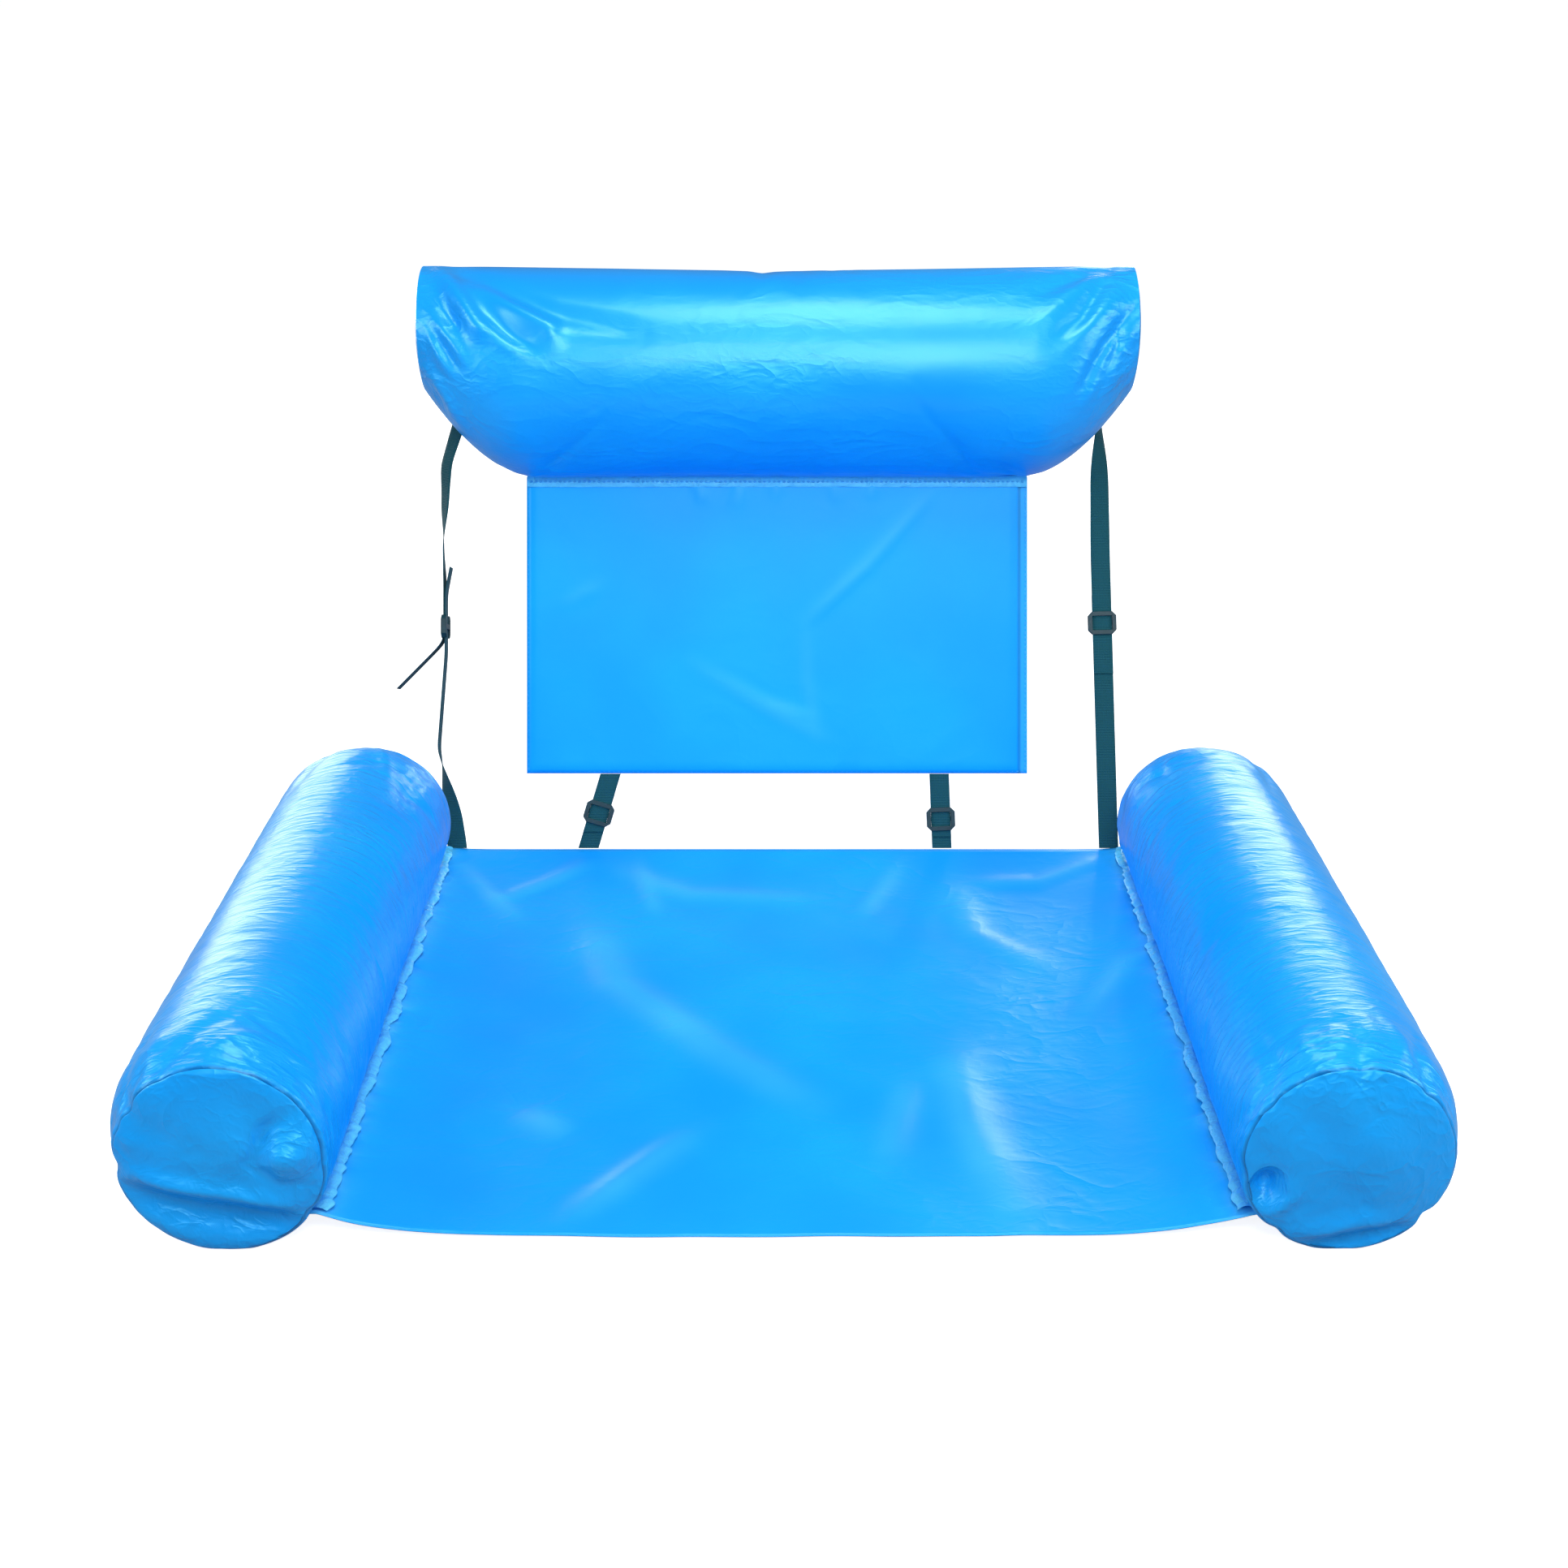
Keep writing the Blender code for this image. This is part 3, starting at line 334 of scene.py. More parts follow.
def weave_group():
    """Threads that pass over and under each other, from cloth coordinates in metres."""
    tree, given, out = node_group(
        "plain weave",
        {"Cloth": ("NodeSocketVector", None), "Threads": ("NodeSocketFloat", THREADS_PER_METRE)},
        {"Height": "NodeSocketFloat"},
    )
    split = add_node(tree, "ShaderNodeSeparateXYZ", {0: given["Cloth"]}).outputs
    turns = maths(tree, "MULTIPLY", given["Threads"], math.pi)
    warp = maths(tree, "SINE", maths(tree, "MULTIPLY", split["X"], turns))
    weft = maths(tree, "SINE", maths(tree, "MULTIPLY", split["Y"], turns))
    tree.links.new(maths(tree, "MULTIPLY", warp, weft), out["Height"])
    return tree


# %% Group: crinkles
CRINKLE_SCALE = 34.0
RIDGE_NARROWNESS = 4.0
BROAD_DISTORTION = 0.5
FINE_DISTORTION = 0.4
FINE_SCALE_SHARE = 2.9
FINE_HEIGHT_SHARE = 0.3
SEAM_CRINKLE_SHARE = 0.9
PATCH_SCALE = 6.0
PATCH_CONTRAST = 3.2
PATCH_START = 1.1


def ridged(tree, vector, scale, distortion):
    """Soft raised lines on flat ground, as creases in coated cloth are."""
    cells = speckle(tree, vector, scale, distortion=distortion)
    off_middle = maths(tree, "ABSOLUTE", maths(tree, "SUBTRACT", cells, 0.5))
    line = maths(tree, "SUBTRACT", 1.0, maths(tree, "MULTIPLY", off_middle, RIDGE_NARROWNESS))
    line = maths(tree, "MAXIMUM", line, 0.0)
    return maths(tree, "MULTIPLY", line, line)


def crinkle_group():
    """Two sizes of crease, drawn out one way, stronger near a sewn seam and patchy elsewhere."""
    tree, given, out = node_group(
        "cloth crinkles",
        {
            "Place": ("NodeSocketVector", None),
            "Draw": ("NodeSocketVector", (1.0, 1.0, 1.0)),
            "Near Seam": ("NodeSocketFloat", 0.0),
            "Even": ("NodeSocketFloat", 0.0),
            "Scale": ("NodeSocketFloat", CRINKLE_SCALE),
        },
        {"Height": "NodeSocketFloat", "Patch": "NodeSocketFloat"},
    )
    drawn = add_node(
        tree, "ShaderNodeVectorMath", {0: given["Place"], 1: given["Draw"]}, operation="MULTIPLY"
    ).outputs[0]
    patch = maths(tree, "MULTIPLY", speckle(tree, given["Place"], PATCH_SCALE), PATCH_CONTRAST)
    patch = maths(tree, "SUBTRACT", patch, PATCH_START)
    patch = maths(tree, "MINIMUM", maths(tree, "MAXIMUM", patch, 0.0), 1.0)
    broad = ridged(tree, drawn, given["Scale"], BROAD_DISTORTION)
    fine_scale = maths(tree, "MULTIPLY", given["Scale"], FINE_SCALE_SHARE)
    fine = ridged(tree, drawn, fine_scale, FINE_DISTORTION)
    by_seam = maths(tree, "ADD", maths(tree, "MULTIPLY", given["Near Seam"], SEAM_CRINKLE_SHARE), patch)
    by_seam = maths(tree, "ADD", by_seam, given["Even"])
    both = maths(tree, "ADD", broad, maths(tree, "MULTIPLY", fine, FINE_HEIGHT_SHARE))
    tree.links.new(maths(tree, "MULTIPLY", both, by_seam), out["Height"])
    tree.links.new(patch, out["Patch"])
    return tree


WEAVE = weave_group()
CRINKLES = crinkle_group()
print("groups:", WEAVE.name, "and", CRINKLES.name)


# %% Material: azure nylon
COAT_ROUGHNESS = 0.17
CRINKLE_STRENGTH = 0.6
# The most that crinkle ridges near a seam are painted paler, as a painted highlight
MOST_SEAM_HIGHLIGHT = 0.7
ROUGHNESS_LEAST = 0.30
ROUGHNESS_SPREAD = 0.08
USUAL_SHINE = 0.45
# Each cover cloth: the height of its crinkles in metres, their scale and how they are drawn out
# along the three axes, and its shares of shine, painted highlight near seams, evenness and painted paleness
NYLONS = {
    "armrest_nylon": {"crinkle_height": 0.0013, "scale": 26.0, "draw": (0.8, 2.6, 0.8), "even": 0.3},
    "headrest_nylon": {"crinkle_height": 0.0012, "scale": 20.0, "draw": (0.8, 1.6, 1.6), "shine": 0.5},
    # The seam cloth is painted paler all over: painted light that keeps it pale in the shade where it lies
    "seam_nylon": {"crinkle_height": 0.0010, "scale": 60.0, "shine": 0.3, "pale": 0.9},
    "seat_nylon": {"crinkle_height": 0.0012, "scale": 14, "draw": (1, 1.4, 1), "shine": 0.28, "seam_highlight_share": 0.8},
    "panel_nylon": {"crinkle_height": 0.0004, "scale": 12.0, "shine": 0.15},
}


def nylon(name, crinkle_height, scale, draw=(1, 1, 1), shine=USUAL_SHINE, seam_highlight_share=0, even=0, pale=0):
    """The cover cloth, with its own shine and its own strength, size and direction of crinkle."""
    material, tree, shader = principled(
        name,
        Specular_IOR_Level=shine * DYED_SHARE,
        Specular_Tint=SHINE_COLOUR,
        Coat_Weight=shine * CLEAR_SHARE,
        Coat_Roughness=COAT_ROUGHNESS,
    )
    cloth = add_node(tree, "ShaderNodeUVMap", uv_map="cloth").outputs[0]
    place = add_node(tree, "ShaderNodeTexCoord").outputs["Object"]
    near_seam = attribute(tree, "near_seam")
    crinkles = use_group(
        tree,
        CRINKLES,
        {"Place": place, "Draw": draw, "Near Seam": near_seam, "Even": even, "Scale": scale},
    )
    weave = use_group(tree, WEAVE, {"Cloth": cloth})
    colour = mix_colour(tree, crinkles["Patch"], FABRIC_DEEP, FABRIC_BRIGHT)
    # Crinkle ridges near a seam are painted paler: a painted highlight
    seam_highlight = maths(tree, "MULTIPLY", maths(tree, "MULTIPLY", near_seam, crinkles["Height"]), seam_highlight_share)
    colour = mix_colour(tree, maths(tree, "MINIMUM", seam_highlight, MOST_SEAM_HIGHLIGHT), colour, FABRIC_PALE)
    # Some cloths are painted paler all over: painted light for cloth that lies in shade
    colour = mix_colour(tree, pale, colour, FABRIC_PALE)
    # Crease ridges get a painted highlight, and the panel's hem is paler
    crease_highlight_and_hem = maths(tree, "MULTIPLY_ADD", crinkles["Patch"], CREASE_PATCH_SHARE, CREASE_EVEN_SHARE)
    crease_highlight_and_hem = maths(tree, "MULTIPLY", attribute(tree, "crease_highlight_and_pale_hem"), crease_highlight_and_hem)
    colour = mix_colour(tree, crease_highlight_and_hem, colour, FABRIC_PALE)
    # A painted shade along the ring seams and along the panel's hem step
    colour = mix_colour(tree, attribute(tree, "painted_seam_shade"), colour, SEAM_SHADE_COLOUR)
    rough = maths(tree, "MULTIPLY_ADD", crinkles["Patch"], ROUGHNESS_SPREAD, ROUGHNESS_LEAST)
    creased = bump(tree, crinkles["Height"], crinkle_height, CRINKLE_STRENGTH)
    woven = bump(tree, weave["Height"], WEAVE_HEIGHT, WEAVE_STRENGTH, Normal=creased)
    feed(tree, shader, Base_Color=colour, Roughness=rough, Normal=woven)
    return material


ARMREST_NYLON, PILLOW_NYLON, SEAM_NYLON, SEAT_NYLON, PANEL_NYLON = (
    nylon(name, **facts) for name, facts in NYLONS.items()
)


# %% [markdown]
# Cloth pieces as grids
#
# Each cover starts as a sheet of cloth cut flat, so it is built as a grid of rows and columns whose
# flat coordinates are kept in metres in a UV map called cloth. Threads then run true over any
# bend. More numbers on its points tell the finish where the cloth is gathered, where a highlight
# is painted along its creases and where a shade is painted along its seams.

# %% Helpers that build a grid piece
EVERYWHERE = np.ones((1, 1))


def grid_faces(rows, columns, closed):
    """Corner numbers of the quads of a grid; closed joins the last column to the first."""
    faces = []
    across = columns if closed else columns - 1
    for row in range(rows - 1):
        for column in range(across):
            following = (column + 1) % columns
            low, high = row * columns, (row + 1) * columns
            faces.append((low + column, low + following, high + following, high + column))
    return faces


def face_outward(mesh, middle):
    """Turn all faces to look away from a point inside the piece."""
    total = sum((Vector(face.center) - Vector(middle)).dot(face.normal) * face.area for face in mesh.polygons)
    if total < 0:
        mesh.flip_normals()


def lay_cloth_coordinates(mesh, rows, columns, flat):
    """The UV map cloth: where each corner lay, in metres, when the sheet was flat."""
    layer = mesh.uv_layers.new(name="cloth")
    for face in mesh.polygons:
        spots = [divmod(mesh.loops[index].vertex_index, columns) for index in face.loop_indices]
        wraps = max(spot[1] for spot in spots) - min(spot[1] for spot in spots) > 1
        for index, (row, column) in zip(face.loop_indices, spots):
            if wraps and column == 0:
                column = columns
            layer.data[index].uv = (flat[0] * column / (columns - 1), flat[1] * row / (rows - 1))


def paint(mesh, name, shares, shape):
    """A number for every point of a grid piece, which its finish reads by name."""
    layer = mesh.attributes.new(name, "FLOAT", "POINT")
    layer.data.foreach_set("value", np.broadcast_to(shares, shape).astype(np.float32).ravel())


def grid_piece(name, points, flat, material, closed=False, near_seam=None, middle=None):
    """A mesh piece from an array of points, rows by columns by three."""
    rows, columns = points.shape[:2]
    mesh = bpy.data.meshes.new(name)
    mesh.from_pydata(points.reshape(-1, 3).tolist(), [], grid_faces(rows, columns, closed))
    mesh.update()
    lay_cloth_coordinates(mesh, rows, columns, flat)
    if near_seam is not None:
        paint(mesh, "near_seam", near_seam, points.shape[:2])
    if middle is not None:
        face_outward(mesh, middle)
    piece = bpy.data.objects.new(name, mesh)
    bpy.context.scene.collection.objects.link(piece)
    mesh.materials.append(material)
    mesh.shade_smooth()
    return piece


# %% Helpers that finish a piece
def make_final(piece):
    """Apply the piece's modifiers, so that its mesh is what shows."""
    bpy.context.view_layer.update()
    depsgraph = bpy.context.evaluated_depsgraph_get()
    finished = bpy.data.meshes.new_from_object(piece.evaluated_get(depsgraph))
    piece.modifiers.clear()
    piece.data = finished
    return piece


def refine(piece):
    """One smooth subdivision, applied."""
    subdivide = piece.modifiers.new("Finer", "SUBSURF")
    subdivide.levels = 1
    subdivide.render_levels = 1
    return make_final(piece)


def thicken(piece, thickness):
    """Give a sheet a thickness, half of it to each side."""
    solidify = piece.modifiers.new("Thickness", "SOLIDIFY")
    solidify.thickness = thickness
    solidify.offset = 0


def rework(piece, change, *more):
    """Change a piece's mesh, with the meshes of more pieces joined to it, and turn its faces out."""
    bm = bmesh.new()
    for source in (piece, *more):
        bm.from_mesh(source.data)
    change(bm)
    bmesh.ops.recalc_face_normals(bm, faces=bm.faces)
    bm.to_mesh(piece.data)
    bm.free()


def open_edges(bm):
    """The edges that have a face on one side only."""
    return [edge for edge in bm.edges if edge.is_boundary]


def dress(piece, body, replaced):
    """A cloth piece that rides on a body and takes the place of a soft solid."""
    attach(piece, body)
    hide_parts(replaced)


# %% [markdown]
# Air pressure and gathered cloth
#
# A tube of cloth that is sewn to a smaller ring gathers into pleats there. Modelling each pleat by
# hand looks drawn, so the cloth solver does it: the bag starts at its size in the CAD model, its
# cloth is cut a little larger where it is gathered, its seams are held, and air presses outward for
# twenty steps. Then every point's move is limited, so the bag keeps to its solid's place.

# %% Helpers for a closed bag of cloth
CAP_INNER_SHARE = 0.03


def bag_rows(places, cap_rows, first_dome, last_dome):
    """Each row of a closed tube: its place along the tube, its share of the radius and its bulge."""
    shares = np.linspace(CAP_INNER_SHARE, 1, cap_rows)
    first = [(places[0], share, -first_dome * (1 - share**2)) for share in shares]
    tube = [(place, 1.0, 0.0) for place in places[1:-1]]
    last = [(places[-1], share, last_dome * (1 - share**2)) for share in shares[::-1]]
    return np.array(first + tube + last).T[..., None]


def turns_of(columns):
    """The angle of each column of a tube, from its lowest line round."""
    return -math.pi / 2 + 2 * math.pi * np.arange(columns) / columns


def bag_faces(rows, columns):
    """Corner numbers of a tube's quads and of the small faces that close its two ends."""
    ends = [tuple(range(columns))[::-1], tuple(range((rows - 1) * columns, rows * columns))]
    return grid_faces(rows, columns, closed=True) + ends


def ring_points(ring_rows, columns):
    """Numbers of all the points on the rows that are ring seams."""
    return [row * columns + column for row in ring_rows for column in range(columns)]


# %% Helper: blow up a bag of cloth
SIMULATION_STEPS = 20
LIGHT_CLOTH = {
    "vertex_group_mass": "held",
    "vertex_group_shrink": "slack",
    "quality": 5,
    "time_scale": 3.0,
    "mass": 0.08,
    "tension_stiffness": 40,
    "compression_stiffness": 40,
    "shear_stiffness": 8,
    "bending_stiffness": 0.05,
    "use_pressure": True,
}
TINY = 1e-9


def cloth_settings(modifier, extra_cloth, pressure):
    """Light, easily bent cloth with air inside, no gravity and extra cloth where it is slack."""
    settings = modifier.settings
    for key, value in LIGHT_CLOTH.items():
        setattr(settings, key, value)
    settings.shrink_min, settings.shrink_max = (-share for share in extra_cloth)
    settings.uniform_pressure_force = pressure
    settings.effector_weights.gravity = 0
    modifier.collision_settings.use_collision = False
    modifier.point_cache.frame_start = 1
    modifier.point_cache.frame_end = SIMULATION_STEPS


def bag_of_cloth(name, start, faces, held, slack):
    """A closed mesh whose vertex groups say which points are held and which are slack."""
    mesh = bpy.data.meshes.new(name)
    mesh.from_pydata(start.tolist(), [], faces)
    mesh.update()
    face_outward(mesh, start.mean(axis=0))
    bag = bpy.data.objects.new(name, mesh)
    bpy.context.scene.collection.objects.link(bag)
    bag.vertex_groups.new(name="held").add([int(index) for index in held], 1.0, "REPLACE")
    group = bag.vertex_groups.new(name="slack")
    for index, share in enumerate(slack):
        group.add([index], float(share), "REPLACE")
    return bag


def blow_up(name, start, faces, held, slack, extra_cloth, pressure, limit):
    """A bag's points after the air has gathered its slack cloth; each moves less than the limit."""
    bag = bag_of_cloth(name + "_bag", start, faces, held, slack)
    modifier = bag.modifiers.new("Cloth", "CLOTH")
    cloth_settings(modifier, extra_cloth, pressure)
    for step in range(1, SIMULATION_STEPS + 1):
        bpy.context.scene.frame_set(step)
    evaluated = bag.evaluated_get(bpy.context.evaluated_depsgraph_get())
    blown = np.empty(len(start) * 3, np.float32)
    evaluated.data.vertices.foreach_get("co", blown)
    bpy.context.scene.frame_set(1)
    bpy.data.objects.remove(bag, do_unlink=True)
    move = blown.reshape(-1, 3).astype(float) - start
    length = np.linalg.norm(move, axis=1, keepdims=True)
    print(name, "cloth moved, mean and most in metres:", length.mean().round(4), length.max().round(4))
    return start + move * limit * np.tanh(length / limit) / np.maximum(length, TINY)


# %% [markdown]
# Armrests
#
# Each armrest is a nylon tube with a round cap sewn in at both ends. The tube and its two caps are
# one closed bag while the air is let in, and are parted again afterwards, so the pleats of the tube
# and of the cap meet at the ring seam. The caps then get the slack folds that the photograph shows:
# a long one across the left cap and a pressed dent in the right one. The tubes get cross wrinkles
# and the folds that run in from their ring seams.

# %% Helpers for listed creases
FAR_AWAY = 9.0
CREASE_TIP_SHARE = 0.02
CREASE_TIP_POWER = 0.6


def fade(distance, length):
    """One at a seam, falling smoothly to nothing away from it."""
    return np.exp(-((np.asarray(distance) / length) ** 2))


def wrapped(degrees):
    """An angle between -180 and 180 degrees."""
    return (degrees + 180) % 360 - 180


def along_line(x, y, places):
    """Distance of each point from a line of places, and how far along the line it lies."""
    best = np.full(np.shape(x), FAR_AWAY)
    share = np.zeros(np.shape(x))
    pieces = len(places) - 1
    for number, (first, second) in enumerate(zip(places, places[1:])):
        run = np.array(second) - np.array(first)
        t = np.clip(((x - first[0]) * run[0] + (y - first[1]) * run[1]) / (run @ run), 0, 1)
        away = np.hypot(x - first[0] - t * run[0], y - first[1] - t * run[1])
        share = np.where(away < best, (number + t) / pieces, share)
        best = np.minimum(best, away)
    return best, share


def crease_height(x, y, creases, strength=1.0, softness=1.0):
    """The ridges of a table of creases, added up; each fades in and out along its length."""
    total = np.zeros(np.shape(x))
    for places, height, width in creases:
        away, share = along_line(x, y, places)
        share = np.clip(share, CREASE_TIP_SHARE, 1 - CREASE_TIP_SHARE)
        total += height * fade(away, width * softness) * np.sin(math.pi * share) ** CREASE_TIP_POWER
    return total * strength


def ripples(x, y, scale, seed):
    """Smooth irregular waves between -1 and 1, from Blender's own noise."""
    x, y = np.broadcast_arrays(x, y)
    values = [noise.noise((a * scale, b * scale, seed)) for a, b in zip(x.ravel(), y.ravel())]
    return np.array(values).reshape(x.shape)


# %% The armrest's rule
CLOTH_STEP = 0.0056
ARMREST_COLUMNS = round(2 * math.pi * ARMREST_RADIUS / CLOTH_STEP)
SLEEVE_ROWS = round(ARMREST_LENGTH / CLOTH_STEP) + 1
CAP_ROWS = 15
FRONT_RING, REAR_RING = CAP_ROWS - 1, CAP_ROWS + SLEEVE_ROWS - 2
ARMREST_ROWS = REAR_RING + CAP_ROWS
AROUND_ARMREST = 2 * math.pi * ARMREST_RADIUS


def armrest_radius(y):
    """The tube's radius: a slight taper to the rear, drawn in at both ring seams."""
    along = np.clip((y - ARMREST_FRONT_Y) / ARMREST_LENGTH, 0, 1)
    inside = np.maximum(0, np.minimum(y - ARMREST_FRONT_Y, ARMREST_REAR_Y - y))
    return ARMREST_RADIUS * (1 - ARMREST_TAPER_SHARE * along) - RING_DRAW_IN * fade(inside, RING_DRAW_LENGTH)


def armrest_axis(y):
    """Distance of the tube's axis from the middle of the seat, and its height."""
    radius = armrest_radius(y)
    return SEAM_X - radius * math.cos(SEAM_ANGLE), radius * math.cos(HALF_FACET) - ARMREST_FLAT_CUT


def armrest_points(side):
    """The bag's points at its place in the CAD model."""
    places = np.linspace(ARMREST_FRONT_Y, ARMREST_REAR_Y, SLEEVE_ROWS)
    y, share, bulge = bag_rows(places, CAP_ROWS, FRONT_CAP_DOME, REAR_CAP_DOME)
    angle = turns_of(ARMREST_COLUMNS)[None, :]
    across, height = armrest_axis(y)
    x = side * (across + share * armrest_radius(y) * np.cos(angle))
    z = np.maximum(height + share * armrest_radius(y) * np.sin(angle), FLOOR_CLEARANCE)
    return np.stack([x, np.broadcast_to(y + bulge, x.shape), z], axis=-1)


def to_ring(y):
    """Distance of each point from the nearer ring seam."""
    return np.minimum(np.abs(y - ARMREST_FRONT_Y), np.abs(y - ARMREST_REAR_Y))


# %% How slack the armrest's cloth is
ARMREST_EXTRA_CLOTH = (0.005, 0.085)
ARMREST_SLACK_LENGTH = 0.050
ARMREST_PRESSURE = 4.0
ARMREST_MOVE_LIMIT = 0.008
FLOOR_CLEARANCE = 0.0004
SEAM_CRINKLE_LENGTH = 0.035


def held_points():
    """Numbers of the points on the two ring seams and on the seat's seam."""
    seam_column = round((SEAM_ANGLE + math.pi / 2) / (2 * math.pi) * ARMREST_COLUMNS) % ARMREST_COLUMNS
    along_seam = [row * ARMREST_COLUMNS + seam_column for row in range(FRONT_RING, REAR_RING)]
    return ring_points((FRONT_RING, REAR_RING), ARMREST_COLUMNS) + along_seam


# %% Folds of the caps
# Each fold of a front cap: the places (outward, up) from the cap's middle that it passes, how far
# it stands out or, below 0, lies in, and how wide it is, in metres
CAP_FOLDS = {
    "left": [
        ([(0.082, -0.020), (0.014, -0.042), (-0.039, -0.052), (-0.074, -0.056)], -0.0150, 0.0145),
        ([(0.084, -0.005), (0.041, -0.013), (-0.012, -0.024), (-0.076, -0.045)], 0.0085, 0.0075),
        ([(0.070, -0.038), (0.052, -0.050), (0.020, -0.066)], 0.0040, 0.0060),
        ([(-0.038, 0.004), (-0.060, 0.010), (-0.080, 0.018)], 0.0125, 0.0160),
        ([(-0.058, 0.044), (-0.038, 0.028), (-0.026, 0.004), (-0.040, -0.016)], -0.0060, 0.0065),
        ([(-0.046, -0.012), (-0.066, -0.020), (-0.070, -0.038)], -0.0030, 0.0050),
        ([(0.075, 0.050), (0.050, 0.030), (0.020, 0.022)], -0.0030, 0.0100),
        ([(0.080, 0.024), (0.055, 0.014)], 0.0030, 0.0060),
        ([(-0.010, 0.070), (-0.030, 0.040), (-0.030, 0.010)], -0.0035, 0.0130),
    ],
    "right": [
        ([(-0.070, -0.014), (-0.060, -0.020), (-0.050, -0.024)], -0.0215, 0.0140),
        ([(-0.070, -0.046), (-0.052, -0.040), (-0.041, -0.026), (-0.044, -0.010)], 0.0060, 0.0055),
        ([(-0.076, 0.024), (-0.066, 0.010), (-0.056, 0.000)], -0.0050, 0.0070),
        ([(-0.040, -0.062), (-0.021, -0.058), (0.016, -0.048), (0.050, -0.052)], 0.0060, 0.0075),
        ([(-0.040, -0.076), (0.004, -0.067), (0.040, -0.058), (0.046, -0.070)], -0.0120, 0.0085),
        ([(0.070, -0.040), (0.056, -0.056), (0.050, -0.070)], 0.0045, 0.0045),
        ([(0.000, 0.084), (0.000, 0.072), (0.002, 0.062)], -0.0045, 0.0035),
        ([(0.000, 0.030), (0.020, 0.010), (0.030, -0.030)], 0.0040, 0.0240),
        ([(-0.045, 0.050), (-0.020, 0.030), (-0.010, 0.000)], -0.0035, 0.0150),
    ],
}

# %% Folds of the tubes
# Each fold of a tube: the places (degrees from outward, metres behind the front ring) that each passes
TUBE_FOLDS = {
    "left": [
        ([(60, 0.002), (78, 0.030), (100, 0.075)], -0.0030, 0.0050),
        ([(84, 0.000), (94, 0.020), (118, 0.050)], 0.0030, 0.0045),
        ([(100, 0.000), (120, 0.022), (140, 0.030)], -0.0028, 0.0040),
        ([(30, 0.004), (40, 0.040), (52, 0.090)], -0.0025, 0.0050),
        ([(46, 0.000), (56, 0.022), (60, 0.050)], 0.0025, 0.0040),
        ([(75, 0.630), (60, 0.590), (50, 0.530)], -0.0030, 0.0055),
        ([(100, 0.630), (112, 0.590), (120, 0.540)], 0.0028, 0.0060),
        ([(140, 0.625), (134, 0.560), (138, 0.500)], -0.0028, 0.0060),
    ],
    "right": [
        ([(90, 0.000), (88, 0.025), (96, 0.060)], -0.0035, 0.0045),
        ([(48, 0.000), (56, 0.030), (50, 0.070)], -0.0030, 0.0050),
        ([(142, 0.000), (132, 0.030), (138, 0.080)], -0.0030, 0.0050),
        ([(110, 0.002), (118, 0.030), (112, 0.060)], 0.0025, 0.0045),
        ([(70, 0.002), (64, 0.030), (72, 0.075)], 0.0025, 0.0050),
        ([(120, 0.630), (128, 0.590), (120, 0.540)], -0.0028, 0.0055),
        ([(60, 0.630), (52, 0.580), (58, 0.520)], -0.0028, 0.0060),
    ],
}
WRINKLE_HEIGHT = 0.0007
WRINKLES_PER_METRE = 62
WRINKLE_STRETCH = 0.22
WRINKLE_SEED = 31.0
# A tube is smooth this near to the seat's seam, in degrees, and to the floor, in metres; from
# there its relief eases in over the second number
SMOOTH_ANGLE, EASE_ANGLE = 8, 15
SMOOTH_HEIGHT, EASE_HEIGHT = 0.006, 0.02

# %% Pinches of the ring seams
# Each pinch of a front ring seam: its angle from outward, its half width and its extra depth
RING_PINCHES = {
    "left": [
        (35, 5, 0.0055),
        (22, 4, 0.0025),
        (-4, 5, 0.0050),
        (62, 3, 0.0020),
        (215, 4, 0.0040),
        (180, 8, 0.0020),
    ],
    "right": [
        (90, 3, 0.0030),
        (48, 4, 0.0030),
        (142, 3, 0.0025),
        (190, 7, 0.0035),
        (232, 4, 0.0040),
        (-38, 5, 0.0050),
    ],
}
GROOVE_DEPTH = 0.0030
GROOVE_JAG = 0.0045
GROOVE_JAG_SCALE = 7
FRONT_RING_SEED = 3.0
REAR_RING_SEED = 8.0
# The row of points beside a ring seam: its share of the way to the next row, and of the pinches
BESIDE_SHARE = 0.36
BESIDE_PINCH_SHARE = 0.9
# How dark the painted shade along a ring seam is
SEAM_SHADE_SHARE = 0.85
PINCH_REACH = 0.010
# A cap's folds fade to almost nothing at its rim, more sharply the higher this power
RIM_SHARE = 1.02
RIM_POWER = 6


# %% Helpers that lay the folds and the grooves
def unit(vectors):
    """Each vector at a length of one."""
    return vectors / np.maximum(np.linalg.norm(vectors, axis=-1, keepdims=True), SEWN_GAP)


def press_front_cap(side, word, points):
    """Lay the photographed folds in the cap's cloth."""
    axis_x, axis_z = armrest_axis(ARMREST_FRONT_Y)
    across = side * points[..., 0] - axis_x
    height = points[..., 2] - axis_z
    share = np.hypot(across, height) / armrest_radius(ARMREST_FRONT_Y)
    relief = crease_height(across, height, CAP_FOLDS[word])
    points[..., 1] -= relief * np.clip(RIM_SHARE - share**RIM_POWER, 0, 1)
    return points


